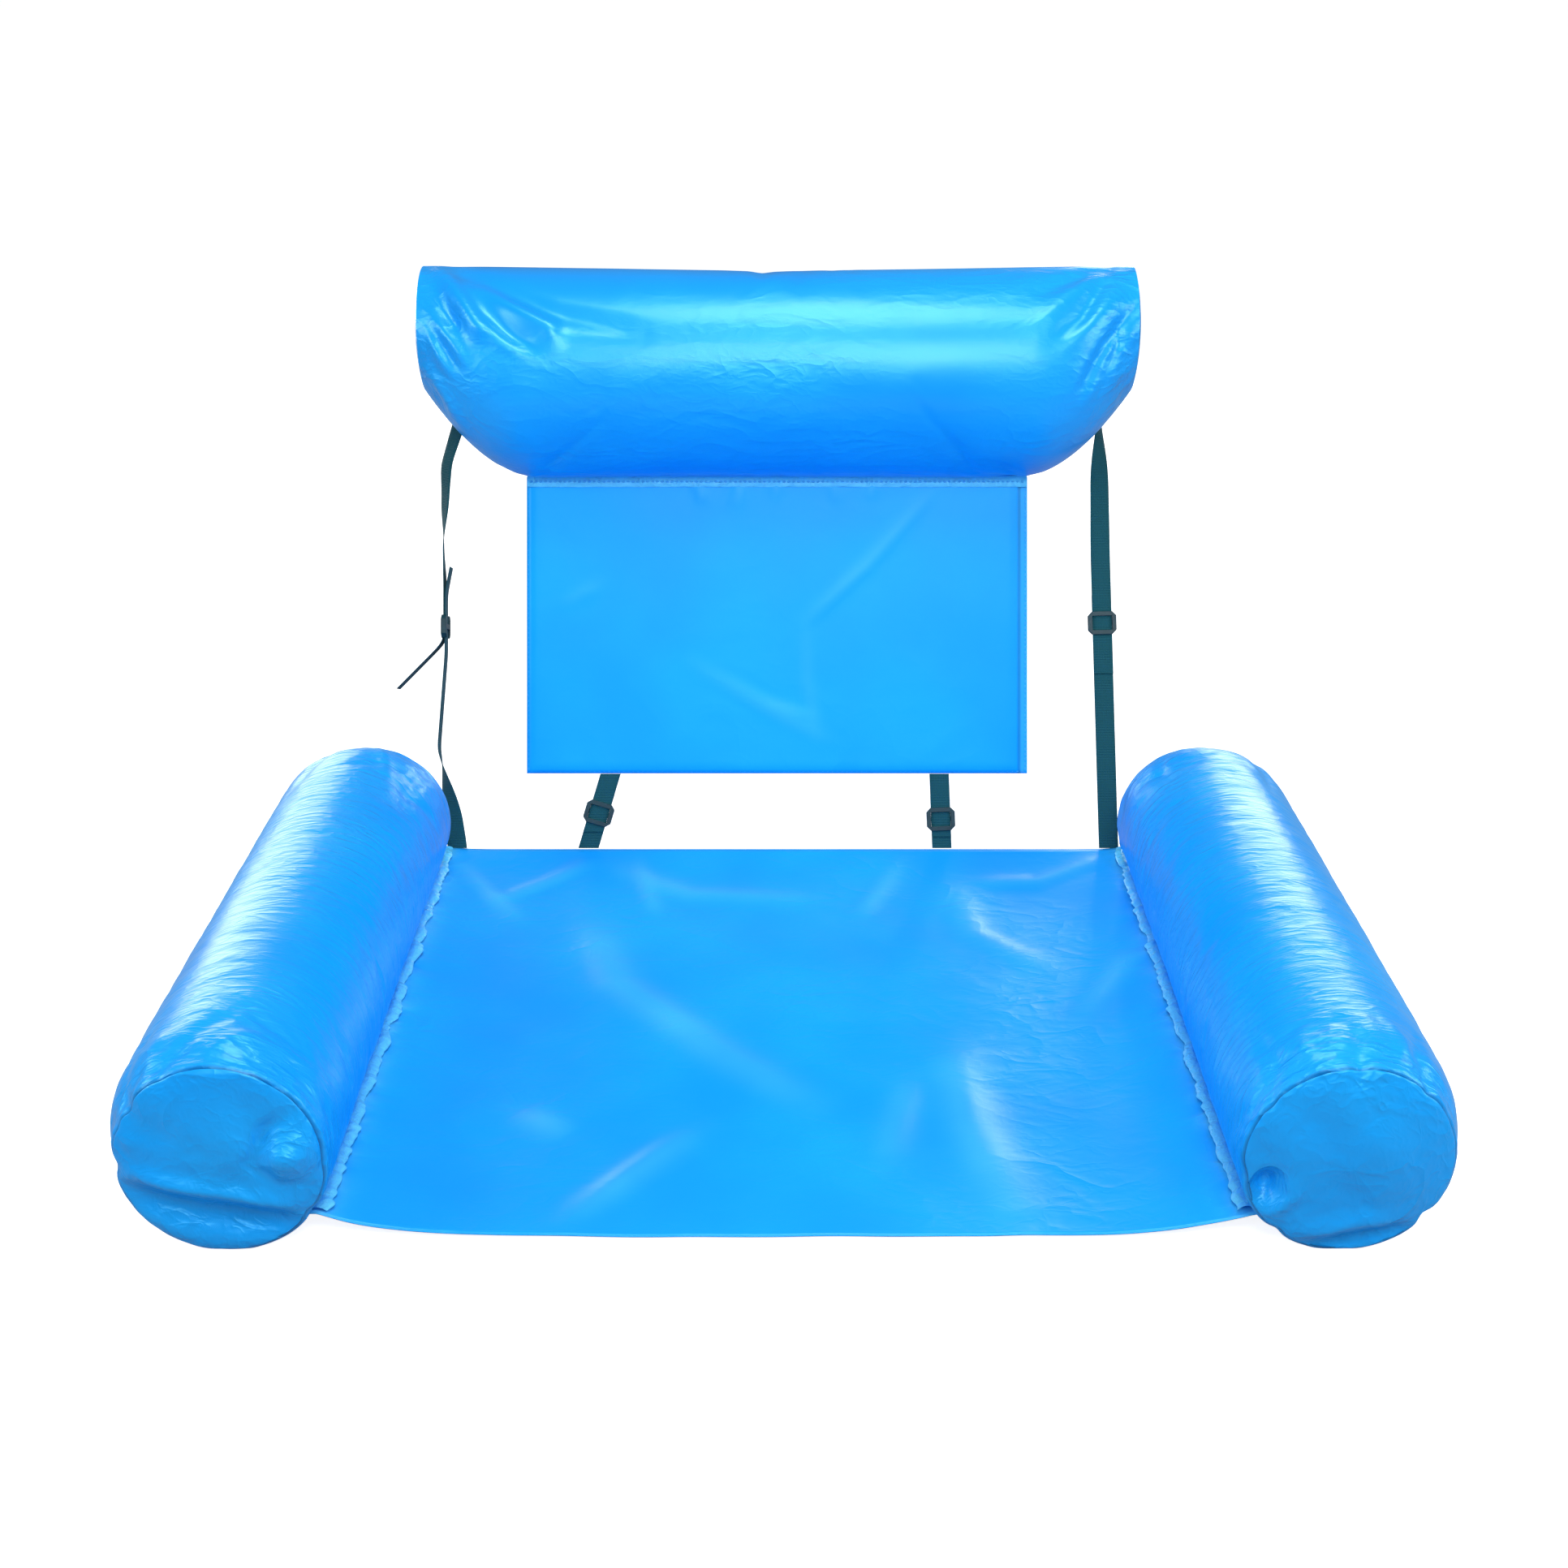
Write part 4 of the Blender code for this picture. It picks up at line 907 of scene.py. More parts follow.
def wrinkle_sleeve(side, word, points, spots):
    """Lay cross wrinkles and the photographed folds in a tube; spots are its places before."""
    across, height = armrest_axis(spots[..., 1])
    spoke = unit(
        np.stack([spots[..., 0] - side * across, np.zeros_like(height), spots[..., 2] - height], axis=-1)
    )
    turn = np.arctan2(spoke[..., 2], side * spoke[..., 0])
    around = turn * ARMREST_RADIUS
    behind = spots[..., 1] - ARMREST_FRONT_Y
    folds = [
        ([(math.radians(angle) * ARMREST_RADIUS, y) for angle, y in places], height, width)
        for places, height, width in TUBE_FOLDS[word]
    ]
    rise = crease_height(around, behind, folds)
    wrinkles = ripples(around * WRINKLE_STRETCH, behind, WRINKLES_PER_METRE, WRINKLE_SEED + side)
    rise = rise + WRINKLE_HEIGHT * wrinkles
    from_seam = np.abs(wrapped(np.degrees(turn - SEAM_ANGLE)))
    free = np.clip((from_seam - SMOOTH_ANGLE) / EASE_ANGLE, 0, 1)
    free = free * np.clip((spots[..., 2] - SMOOTH_HEIGHT) / EASE_HEIGHT, 0, 1)
    return points + spoke * (rise * free)[..., None]


def groove_depth(columns, pinches, seed):
    """How far a ring seam is pulled in, all the way round, and the pinches' share of it."""
    turns = turns_of(columns)
    spots = [(math.cos(turn) * GROOVE_JAG_SCALE, math.sin(turn) * GROOVE_JAG_SCALE, seed) for turn in turns]
    jags = [abs(noise.noise(spot)) for spot in spots]
    extra = np.zeros(columns)
    for angle, width, depth in pinches:
        extra += depth * fade(wrapped(np.degrees(turns) - angle), width)
    return GROOVE_DEPTH + GROOVE_JAG * np.array(jags), extra


def draw_in_ring(points, centre, groove, extra, at_start):
    """Pull in a ring seam's own row, add a row close beside it and let the pinches run on."""
    rows = points if at_start else points[::-1]
    inward = centre - rows[0]
    inward = inward / np.linalg.norm(inward, axis=1, keepdims=True)
    beside = rows[0] + (rows[1] - rows[0]) * BESIDE_SHARE
    run = np.linalg.norm(rows - rows[0], axis=2)
    drawn = rows + inward[None] * (extra[None] * fade(run, PINCH_REACH))[..., None]
    first = drawn[:1] + (inward * groove[:, None])[None]
    beside = beside + inward * (extra * BESIDE_PINCH_SHARE)[:, None]
    grown = np.concatenate([first, beside[None], drawn[1:]])
    return grown if at_start else grown[::-1]


# %% Build one armrest
def armrest_pieces(side, word):
    """Sleeve, front cap and rear cap of one armrest, as three cloth pieces."""
    start = armrest_points(side).reshape(-1, 3)
    blown = blow_up(
        word + "_armrest",
        start,
        bag_faces(ARMREST_ROWS, ARMREST_COLUMNS),
        held_points(),
        fade(to_ring(start[:, 1]), ARMREST_SLACK_LENGTH),
        ARMREST_EXTRA_CLOTH,
        ARMREST_PRESSURE,
        ARMREST_MOVE_LIMIT,
    ).reshape(ARMREST_ROWS, ARMREST_COLUMNS, 3)
    blown[..., 2] = np.maximum(blown[..., 2], FLOOR_CLEARANCE)
    between = slice(FRONT_RING, REAR_RING + 1)
    front_groove = groove_depth(ARMREST_COLUMNS, RING_PINCHES[word], FRONT_RING_SEED + side)
    rear_groove = groove_depth(ARMREST_COLUMNS, [], REAR_RING_SEED + side)
    front_middle, rear_middle = blown[FRONT_RING].mean(axis=0), blown[REAR_RING].mean(axis=0)
    front_cap = press_front_cap(side, word, blown[: FRONT_RING + 1].copy())
    spots = start.reshape(ARMREST_ROWS, ARMREST_COLUMNS, 3)[between]
    sleeve = wrinkle_sleeve(side, word, blown[between], spots)
    sleeve[0], sleeve[-1] = blown[FRONT_RING], blown[REAR_RING]
    sleeve = draw_in_ring(sleeve, front_middle, *front_groove, at_start=True)
    parts = {
        "front_cap": draw_in_ring(front_cap, front_middle, *front_groove, at_start=False),
        "sleeve": draw_in_ring(sleeve, rear_middle, *rear_groove, at_start=False),
        "rear_cap": draw_in_ring(blown[REAR_RING:], rear_middle, *rear_groove, at_start=True),
    }
    return [armrest_cover(side, word, part, points) for part, points in parts.items()]


def armrest_cover(side, word, part, points):
    """One cover piece of an armrest from its rows of points."""
    name = word + "_armrest_" + part
    across, height = armrest_axis(SEAT_CENTRE_Y)
    middle = (side * across, SEAT_CENTRE_Y, height)
    if part == "sleeve":
        near = fade(to_ring(points[..., 1]), SEAM_CRINKLE_LENGTH)
        flat = (AROUND_ARMREST, ARMREST_LENGTH)
    else:
        centre = points.mean(axis=(0, 1))
        far = np.hypot(points[..., 0] - centre[0], points[..., 2] - centre[2])
        near = fade(ARMREST_RADIUS - far, SEAM_CRINKLE_LENGTH)
        flat = (AROUND_ARMREST, ARMREST_RADIUS)
    piece = grid_piece(name + "_cloth", points, flat, ARMREST_NYLON, True, near, middle)
    row = np.arange(len(points))[:, None]
    # The ring seams' own rows get a painted shade, as in a dark groove
    seams = {"front_cap": row == row.max(), "sleeve": (row == 0) | (row == row.max()), "rear_cap": row == 0}
    paint(piece.data, "painted_seam_shade", seams[part] * SEAM_SHADE_SHARE, points.shape[:2])
    if part != "sleeve":
        close_middle(piece, points, at_start=part == "front_cap")
    refine(piece)
    dress(piece, word + "_armrest", name)
    return piece


def close_middle(piece, points, at_start):
    """Close the small hole that the rows leave in the middle of a cap."""
    rows, columns = points.shape[:2]
    ring = range(columns) if at_start else range((rows - 1) * columns, rows * columns)

    def fan(bm):
        bm.verts.ensure_lookup_table()
        edge_loop = [bm.verts[index] for index in ring]
        centre = bm.verts.new(sum((vert.co for vert in edge_loop), Vector()) / columns)
        for first, second in zip(edge_loop, edge_loop[1:] + edge_loop[:1]):
            bm.faces.new((first, second, centre))

    rework(piece, fan)
    piece.data.shade_smooth()


SIDES = ((-1, "left"), (1, "right"))
for side, word in SIDES:
    armrest_pieces(side, word)


# %% [markdown]
# Headrest
#
# The pillow is one wide tube whose cloth is drawn down to a much smaller round at each end, which
# is why long folds run from its end seams into the middle. Its top edge stays level while the
# underside rises to the ends. It is blown up like the armrests, held at its end seams and at the
# seam that joins it to the back panel, and its folds are laid in afterwards.

# %% The pillow's rule
PILLOW_GIRTH = 0.611
PILLOW_CAP_FLAT = (0.386, 0.062)
PILLOW_COLUMNS = round(PILLOW_GIRTH / CLOTH_STEP)
PILLOW_ROWS = round(HEADREST_WIDTH / CLOTH_STEP) + 1
PILLOW_CAP_ROWS = 10
PILLOW_FIRST_END, PILLOW_LAST_END = PILLOW_CAP_ROWS - 1, PILLOW_CAP_ROWS + PILLOW_ROWS - 2
# The seam to the panel lies this part of a turn in front of the pillow's lowest line
PANEL_SEAM_PART = 40
PILLOW_EXTRA_CLOTH = (0.0015, 0.11)
PILLOW_SLACK_LENGTH = 0.105
PILLOW_PRESSURE = 4.0
PILLOW_MOVE_LIMIT = 0.012
PILLOW_LEFT_X = HEADREST_SHIFT - HEADREST_WIDTH / 2
PILLOW_RIGHT_X = HEADREST_SHIFT + HEADREST_WIDTH / 2
PANEL_LEFT_X = PANEL_SHIFT - PANEL_WIDTH / 2
PANEL_RIGHT_X = PANEL_SHIFT + PANEL_WIDTH / 2


def pillow_section(x):
    """Half height and half depth of the pillow at x: full in the middle, drawn in at the ends."""
    out = np.maximum(0, np.abs(x - HEADREST_SHIFT) - HEADREST_STRAIGHT_HALF)
    share = np.minimum(1, out / (HEADREST_WIDTH / 2 - HEADREST_STRAIGHT_HALF)) ** HEADREST_DRAW_POWER
    height = HEADREST_HEIGHT + (HEADREST_END_HEIGHT - HEADREST_HEIGHT) * share
    depth = HEADREST_DEPTH + (HEADREST_END_DEPTH - HEADREST_DEPTH) * share
    return height / 2, depth / 2


def pillow_underside(x, y):
    """Height of the pillow's underside up the backrest."""
    half_height, half_depth = pillow_section(x)
    share = np.minimum(1, np.abs(y + HEADREST_FORWARD) / half_depth)
    return HEADREST_TOP - half_height - half_height * np.sqrt(1 - share * share)


PANEL_TOP = float(pillow_underside(0, 0)) - HEADREST_SEAM_GAP


def to_world(points):
    """Points of the backrest's own frame, put where the backrest stands."""
    matrix = np.array(TO_BACKREST)
    return points @ matrix[:3, :3].T + matrix[:3, 3]


def pillow_points():
    """The closed bag's points, rows from the left end to the right, in the backrest's frame."""
    places = HEADREST_SHIFT + HEADREST_WIDTH * np.linspace(-0.5, 0.5, PILLOW_ROWS)
    x, share, bulge = bag_rows(places, PILLOW_CAP_ROWS, HEADREST_CAP_DOME, HEADREST_CAP_DOME)
    angle = turns_of(PILLOW_COLUMNS)[None, :]
    half_height, half_depth = pillow_section(x)
    y = -HEADREST_FORWARD + share * half_depth * np.cos(angle)
    z = HEADREST_TOP - half_height + share * half_height * np.sin(angle)
    return np.stack([np.broadcast_to(x + bulge, y.shape), y, z], axis=-1)


# %% Folds at the headrest's ends
# Each fold on the pillow's front: the places (x, up the backrest) that it passes, how far it stands
# out or lies in, and how wide it is, in metres
PILLOW_FOLDS = [
    ([(-0.350, 0.592), (-0.3016, 0.515), (-0.290, 0.506)], 0.0085, 0.0090),
    ([(-0.345, 0.552), (-0.3276, 0.5245), (-0.319, 0.511)], -0.0065, 0.0065),
    ([(-0.310, 0.567), (-0.270, 0.538), (-0.2296, 0.515), (-0.224, 0.499)], 0.0070, 0.0085),
    ([(-0.290, 0.530), (-0.263, 0.505), (-0.2438, 0.4915)], -0.0070, 0.0080),
    ([(-0.2957, 0.519), (-0.278, 0.501), (-0.2455, 0.485)], 0.0040, 0.0060),
    ([(-0.348, 0.592), (-0.2857, 0.5575), (-0.2296, 0.530), (-0.140, 0.510)], -0.0055, 0.0100),
    ([(-0.344, 0.526), (-0.310, 0.476)], 0.0040, 0.0045),
    ([(-0.350, 0.517), (-0.319, 0.470)], -0.0035, 0.0040),
    ([(-0.358, 0.521), (-0.329, 0.468)], 0.0040, 0.0045),
    ([(-0.359, 0.4815), (-0.342, 0.457), (-0.316, 0.413)], 0.0055, 0.0050),
    ([(-0.348, 0.464), (-0.342, 0.443)], -0.0050, 0.0040),
    ([(0.338, 0.593), (0.292, 0.5736), (0.240, 0.547)], -0.0045, 0.0075),
    ([(0.3256, 0.580), (0.2796, 0.5466), (0.250, 0.519)], 0.0040, 0.0095),
    ([(0.330, 0.5896), (0.3047, 0.549), (0.292, 0.5246), (0.263, 0.5026)], -0.0050, 0.0065),
    ([(0.337, 0.5595), (0.313, 0.5296), (0.278, 0.494)], 0.0045, 0.0095),
    ([(0.353, 0.543), (0.328, 0.517), (0.306, 0.481), (0.292, 0.450)], -0.0060, 0.0050),
    ([(0.332, 0.519), (0.3306, 0.492)], -0.0070, 0.0050),
    ([(0.327, 0.4935), (0.306, 0.452)], -0.0050, 0.0050),
    ([(0.3214, 0.482), (0.300, 0.445)], 0.0040, 0.0040),
    ([(0.338, 0.4705), (0.342, 0.452)], -0.0040, 0.0040),
]


def fold_pillow(points, spots):
    """Lay the photographed folds in the front of the blown pillow; spots are its places before."""
    x, y, z = (spots[..., k] for k in range(3))
    front = np.clip((-HEADREST_FORWARD - y) / (HEADREST_END_DEPTH / 4), 0, 1)
    middle_z = HEADREST_TOP - pillow_section(x)[0]
    outward = unit(np.stack([np.zeros_like(x), y + HEADREST_FORWARD, z - middle_z], axis=-1))
    outward = outward @ np.array(TO_BACKREST)[:3, :3].T
    return points + outward * (crease_height(x, z, PILLOW_FOLDS) * front)[..., None]


# %% Build the headrest
def pillow_held(points):
    """Numbers of the points on both end seams and along the seam to the panel."""
    columns = PILLOW_COLUMNS
    held = ring_points((PILLOW_FIRST_END, PILLOW_LAST_END), columns)
    for row in range(PILLOW_FIRST_END, PILLOW_LAST_END):
        if PANEL_LEFT_X < points[row, 0, 0] < PANEL_RIGHT_X:
            held.append(row * columns + round(columns / PANEL_SEAM_PART))
    return held


def pillow_pieces():
    """Sleeve and end caps of the headrest, as cloth pieces in place."""
    points = pillow_points()
    rows, columns = points.shape[:2]
    to_end = np.minimum(points[..., 0] - PILLOW_LEFT_X, PILLOW_RIGHT_X - points[..., 0]).clip(0)
    blown = blow_up(
        "headrest",
        to_world(points.reshape(-1, 3)),
        bag_faces(rows, columns),
        pillow_held(points),
        fade(to_end, PILLOW_SLACK_LENGTH).ravel(),
        PILLOW_EXTRA_CLOTH,
        PILLOW_PRESSURE,
        PILLOW_MOVE_LIMIT,
    ).reshape(rows, columns, 3)
    blown = fold_pillow(blown, points)
    near = fade(to_end, PILLOW_SLACK_LENGTH / 2)
    middle = to_world(np.array([[HEADREST_SHIFT, -HEADREST_FORWARD, HEADREST_TOP - HEADREST_HEIGHT / 2]]))[0]
    pieces = []
    for part, low, high in (
        ("left_cap", 0, PILLOW_FIRST_END),
        ("sleeve", PILLOW_FIRST_END, PILLOW_LAST_END),
        ("right_cap", PILLOW_LAST_END, rows - 1),
    ):
        flat = (PILLOW_GIRTH, HEADREST_WIDTH) if part == "sleeve" else PILLOW_CAP_FLAT
        name = "headrest_" + part
        cut, layer = blown[low : high + 1], near[low : high + 1]
        piece = grid_piece(name + "_cloth", cut, flat, PILLOW_NYLON, True, layer, middle)
        if part != "sleeve":
            close_middle(piece, cut, at_start=part == "left_cap")
        refine(piece)
        dress(piece, "headrest", name)
        pieces.append(piece)
    return pieces


headrest_cloth = pillow_pieces()
print("headrest:", [len(piece.data.polygons) for piece in headrest_cloth], "faces")

# %% [markdown]
# Seat
#
# The seat is one loose layer of nylon. It hangs level from its rear hem, sinks to the floor between
# the armrests, and keeps long soft creases from having been folded. The creases lie where the
# photograph shows them, each a gentle ridge from one place to another, and finer ones spread from
# the rear corners, where the straps pull.

# %% The seat's height and its creases
SEAT_COLUMNS = 150
SEAT_ROWS = 140
SEAT_CREASE_STRENGTH = 1.2
SEAT_CREASE_SOFTNESS = 1.15
SEAT_CREASE_FULL = 0.0036
SEAT_SEAM_REACH = 0.018
# The columns stand closer at the side seams by this share
SEAT_CROWDING = 0.35
# The relief grows to its full height over an eighth of the half width from a side seam, and
# over this length from the rear hem
SEAT_FREE_PARTS = 8
SEAT_FREE_LENGTH = 0.02
# Broad waves all over, and finer ones drawn out from the side seams: height, waves a metre, seed
SEAT_WAVES = (0.0011, 14, 3.0)
SEAT_PULLS = (0.0015, 62, 7.0)
SEAT_PULL_STRETCH = 0.35
SEAT_PULL_FROM, SEAT_PULL_TO = 0.004, 0.030
# Each crease: the places (x, y) that it passes, how high it stands and how wide it is, in metres
SEAT_CREASES = [
    ([(-0.196, 0.096), (-0.154, -0.041), (-0.046, -0.184), (0.023, -0.259)], 0.0042, 0.017),
    ([(0.144, -0.163), (0.154, -0.298), (0.180, -0.437)], 0.0044, 0.019),
    ([(-0.164, -0.426), (-0.070, -0.298)], 0.0036, 0.012),
    ([(-0.218, -0.272), (-0.174, -0.310)], 0.0034, 0.014),
    ([(0.168, 0.171), (0.182, 0.060), (0.252, -0.025)], 0.0020, 0.013),
    ([(-0.180, 0.195), (-0.094, 0.140), (0.027, 0.133)], 0.0028, 0.012),
    ([(-0.200, 0.200), (-0.288, 0.118)], 0.0026, 0.008),
    ([(0.335, 0.205), (0.255, 0.162), (0.190, 0.165)], 0.0028, 0.009),
    ([(0.106, -0.219), (0.080, -0.346)], 0.0026, 0.012),
    ([(-0.335, 0.195), (-0.257, 0.078)], 0.0030, 0.009),
    ([(0.332, 0.008), (0.263, -0.119)], 0.0026, 0.011),
    ([(-0.150, 0.205), (-0.125, 0.100)], 0.0022, 0.007),
    ([(0.120, 0.200), (0.070, 0.090)], 0.0022, 0.008),
]


def inset_by(gap):
    """How far in from the seam line a cloth lies that keeps a gap along the slope of the tube."""
    return gap * math.cos(math.pi / 4)


def seat_height(across_share, y):
    """The sling's height: level at its rear edge, then sagging to the floor between the seams."""
    inside = np.clip(y, ARMREST_FRONT_Y, ARMREST_REAR_Y)
    seam = armrest_axis(inside)[1] + armrest_radius(inside) * math.sin(SEAM_ANGLE)
    edge = seam - inset_by(SEWN_GAP + COVER_THICKNESS / 2)
    sag = 1 - np.exp(-(SEAT_REAR_Y - y) / SEAT_SAG_LENGTH)
    slack = 1 - np.abs(across_share) ** SEAT_SAG_POWER
    return edge - (edge - SEAT_LOWEST) * slack * sag


# %% Build the seat
def seat_points():
    """Rows of points from the front hem to the rear hem."""
    half = SEAM_X - inset_by(SEWN_GAP + COVER_THICKNESS / 2)
    turn = np.linspace(-0.5, 0.5, SEAT_COLUMNS)[None, :]
    across = np.sin(turn * math.pi) * SEAT_CROWDING + 2 * turn * (1 - SEAT_CROWDING)
    y = np.linspace(SEAT_FRONT_Y, SEAT_REAR_Y, SEAT_ROWS)[:, None] + np.zeros_like(across)
    x = half * across + np.zeros_like(y)
    z = seat_height(across, y)
    into = SEAT_REAR_Y - y
    edge_share = np.clip(1 - np.abs(across), 0, 1)
    to_seam = edge_share * half
    free = np.clip(edge_share * SEAT_FREE_PARTS, 0, 1) * np.clip(into / SEAT_FREE_LENGTH, 0, 1)
    z = z + crease_height(x, y, SEAT_CREASES, SEAT_CREASE_STRENGTH, SEAT_CREASE_SOFTNESS) * free
    wave_height, *waves = SEAT_WAVES
    z = z + wave_height * free * (1 + ripples(x, y, *waves))
    pulled = fade(to_seam, SEAT_PULL_TO) * (1 - fade(to_seam, SEAT_PULL_FROM))
    pull_height, *pulls = SEAT_PULLS
    z = z + pull_height * pulled * (1 + ripples(x * SEAT_PULL_STRETCH, y, *pulls))
    return np.stack([x, y, np.maximum(z, SEAT_LOWEST)], axis=-1), to_seam


def seat_piece():
    """The seat's cloth, with a thickness."""
    points, to_seam = seat_points()
    near = fade(to_seam, SEAT_SEAM_REACH)
    piece = grid_piece("seat_cloth", points, (SEAT_WIDTH, SEAT_DEPTH), SEAT_NYLON, near_seam=near)
    ridges = crease_height(points[..., 0], points[..., 1], SEAT_CREASES, softness=SEAT_CREASE_SOFTNESS)
    # The crease ridges are painted paler: a painted highlight
    paint(piece.data, "crease_highlight_and_pale_hem", np.clip(ridges / SEAT_CREASE_FULL, 0, 1), points.shape[:2])
    thicken(piece, COVER_THICKNESS)
    make_final(piece)
    dress(piece, "seat", "seat_panel")
    return piece


seat_cloth = seat_piece()
print("seat:", len(seat_cloth.data.polygons), "faces")

# %% [markdown]
# Seam allowance along the armrests
#
# Where the seat is sewn to an armrest, the cut edges of both cloths stand up along the seam as a
# narrow strip. Its thread is tighter than the cloth, so the strip waves and catches light unevenly.
# It is a strip of its own, because it is folded over the seat and not part of its surface.

# %% Build the seam allowances
RUFFLE_WIDTH = 0.016
RUFFLE_ROWS = 260
RUFFLE_FRONT_MARGIN, RUFFLE_REAR_MARGIN = 0.004, 0.006
# Waves a metre and seeds of the strip's two waves, and their shares of its width and height
SLOW_WAVES, QUICK_WAVES = 34, 120
SLOW_SEED, QUICK_SEED = 11.0, 17.0
SLOW_WIDTH_SHARE, QUICK_WIDTH_SHARE = 0.45, 0.25
SLOW_HEIGHT_SHARE, QUICK_HEIGHT_SHARE = 0.7, 0.5
# Across the strip, from the seat to the seam: share of the width, height above the seat, wave share
RUFFLE_SECTION = [
    (1.00, 0.0040, 1.0),
    (0.92, 0.0054, 1.0),
    (0.70, 0.0066, 1.0),
    (0.45, 0.0058, 0.8),
    (0.22, 0.0034, 0.5),
    (0.06, 0.0010, 0.1),
]


def ruffle_points(side):
    """Rows of points along one seam, each a section of the strip."""
    front, rear = SEAT_FRONT_Y + RUFFLE_FRONT_MARGIN, SEAT_REAR_Y - RUFFLE_REAR_MARGIN
    y = np.linspace(front, rear, RUFFLE_ROWS)[:, None]
    share, height, wave = (np.array(RUFFLE_SECTION)[None, :, k] for k in range(3))
    slow = ripples(y, 0, SLOW_WAVES, SLOW_SEED + side)
    quick = ripples(y, 0, QUICK_WAVES, QUICK_SEED + side)
    width = RUFFLE_WIDTH * (1 + SLOW_WIDTH_SHARE * slow + QUICK_WIDTH_SHARE * quick)
    x = SEAM_X - inset_by(SEWN_GAP + COVER_THICKNESS) - share * width
    lift = height * (1 + wave * (SLOW_HEIGHT_SHARE * slow + QUICK_HEIGHT_SHARE * quick))
    z = seat_height(x / SEAM_X, y) + COVER_THICKNESS + np.maximum(lift, SEWN_GAP)
    return np.stack([side * x, y + np.zeros_like(x), z], axis=-1)


def ruffle_piece(side, word):
    """The seam allowance of one side, with a thickness."""
    points = ruffle_points(side)
    flat = (RUFFLE_WIDTH, SEAT_DEPTH)
    # Its cloth is painted paler all over: painted light that keeps it pale in the armrest's shade
    piece = grid_piece(word + "_seam_allowance", points, flat, SEAM_NYLON, near_seam=EVERYWHERE)
    thicken(piece, COVER_THICKNESS / 2)
    refine(piece)
    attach(piece, "seat")
    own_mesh(piece)
    return piece


seam_allowances = [ruffle_piece(side, word) for side, word in SIDES]
print("seam allowances:", len(seam_allowances))

# %% [markdown]
# Back panel
#
# The panel is a flat pocket sewn from two layers of the same cloth over a thin sheet of foam. It is
# modelled as a closed form: its faces lie flat over the foam, pinch together in a narrow edge all
# round with a wider flat hem at the right, and carry the faint fold lines of the photograph.

# %% The panel's rule and its creases
PANEL_COLUMNS = 110
PANEL_ROWS = 70
PANEL_CREASE_STRENGTH = 0.7
PANEL_CREASE_SOFTNESS = 1.2
PANEL_CREASE_FULL = 0.0034
PANEL_RIM = 0.008
PANEL_EDGE_THICKNESS = 0.0022
PANEL_HEM = 0.011
HEM_FLAT_SHARE = 0.75
HEM_REACH = 0.018
# The flat hem strip at the right is painted paler by this share
HEM_PALE_SHARE = 0.7
# A painted shade along the hem's step: its share and its width
HEM_SHADE_SHARE = 0.45
HEM_SHADE_WIDTH = 0.0016
HEM_COLUMNS = 18
PANEL_SEAM_REACH = 0.010
PANEL_WAVE_HEIGHT = 0.0002
PANEL_WAVES = 16
PANEL_WAVE_SEED = 5.0
PANEL_HALF_WIDTH = PANEL_WIDTH / 2
PANEL_MID_Z = (PANEL_TOP + PANEL_BOTTOM) / 2
# Places on the panel's face, across and up from the hinge, as for the seat
PANEL_CREASES = [
    ([(0.150, 0.364), (0.085, 0.290), (0.022, 0.232)], 0.0013, 0.0045),
    ([(-0.095, 0.190), (0.000, 0.135), (0.045, 0.112)], 0.0011, 0.0060),
    ([(0.022, 0.232), (0.024, 0.170), (0.034, 0.115)], 0.0009, 0.0060),
    ([(-0.020, 0.150), (0.035, 0.132)], 0.0009, 0.0050),
    ([(-0.230, 0.250), (-0.190, 0.272)], 0.0008, 0.0060),
    ([(-0.090, 0.381), (-0.082, 0.355)], 0.0014, 0.0035),
    ([(-0.045, 0.381), (-0.050, 0.350)], 0.0014, 0.0035),
    ([(-0.010, 0.381), (-0.008, 0.362)], 0.0012, 0.0030),
    ([(0.050, 0.381), (0.056, 0.356)], 0.0013, 0.0035),
    ([(0.092, 0.381), (0.090, 0.360)], 0.0012, 0.0030),
]


# %% Build the panel
def panel_points(facing):
    """One face of the pocket in the backrest's frame; facing is -1 in front."""
    hem_start = PANEL_HALF_WIDTH - HEM_REACH
    wide = np.linspace(-PANEL_HALF_WIDTH, hem_start, PANEL_COLUMNS - HEM_COLUMNS)
    narrow = np.linspace(hem_start, PANEL_HALF_WIDTH, HEM_COLUMNS + 1)[1:]
    x = np.concatenate([wide, narrow])[None, :]
    half_height = (PANEL_TOP - PANEL_BOTTOM) / 2
    z = np.linspace(-half_height, half_height, PANEL_ROWS)[:, None]
    x, z = x + np.zeros_like(z), z + np.zeros_like(x)
    inward = np.minimum(PANEL_HALF_WIDTH - np.abs(x), half_height - np.abs(z))
    past_hem = PANEL_HALF_WIDTH - x - PANEL_HEM * HEM_FLAT_SHARE
    hem = np.clip(past_hem / (PANEL_HEM * (1 - HEM_FLAT_SHARE)), 0, 1)
    rim = np.minimum(1, inward / PANEL_RIM)
    lift = np.sin(rim * math.pi / 2) * hem
    half_depth = PANEL_EDGE_THICKNESS / 2 + (PANEL_THICKNESS - PANEL_EDGE_THICKNESS) / 2 * lift
    across, up = x + PANEL_SHIFT, z + PANEL_MID_Z
    creases = crease_height(across, up, PANEL_CREASES, PANEL_CREASE_STRENGTH, PANEL_CREASE_SOFTNESS)
    creases = creases * (facing < 0)
    waves = PANEL_WAVE_HEIGHT * (1 + ripples(x, z, PANEL_WAVES, PANEL_WAVE_SEED + facing)) * rim
    return np.stack([across, facing * (half_depth + creases * rim + waves), up], axis=-1), inward


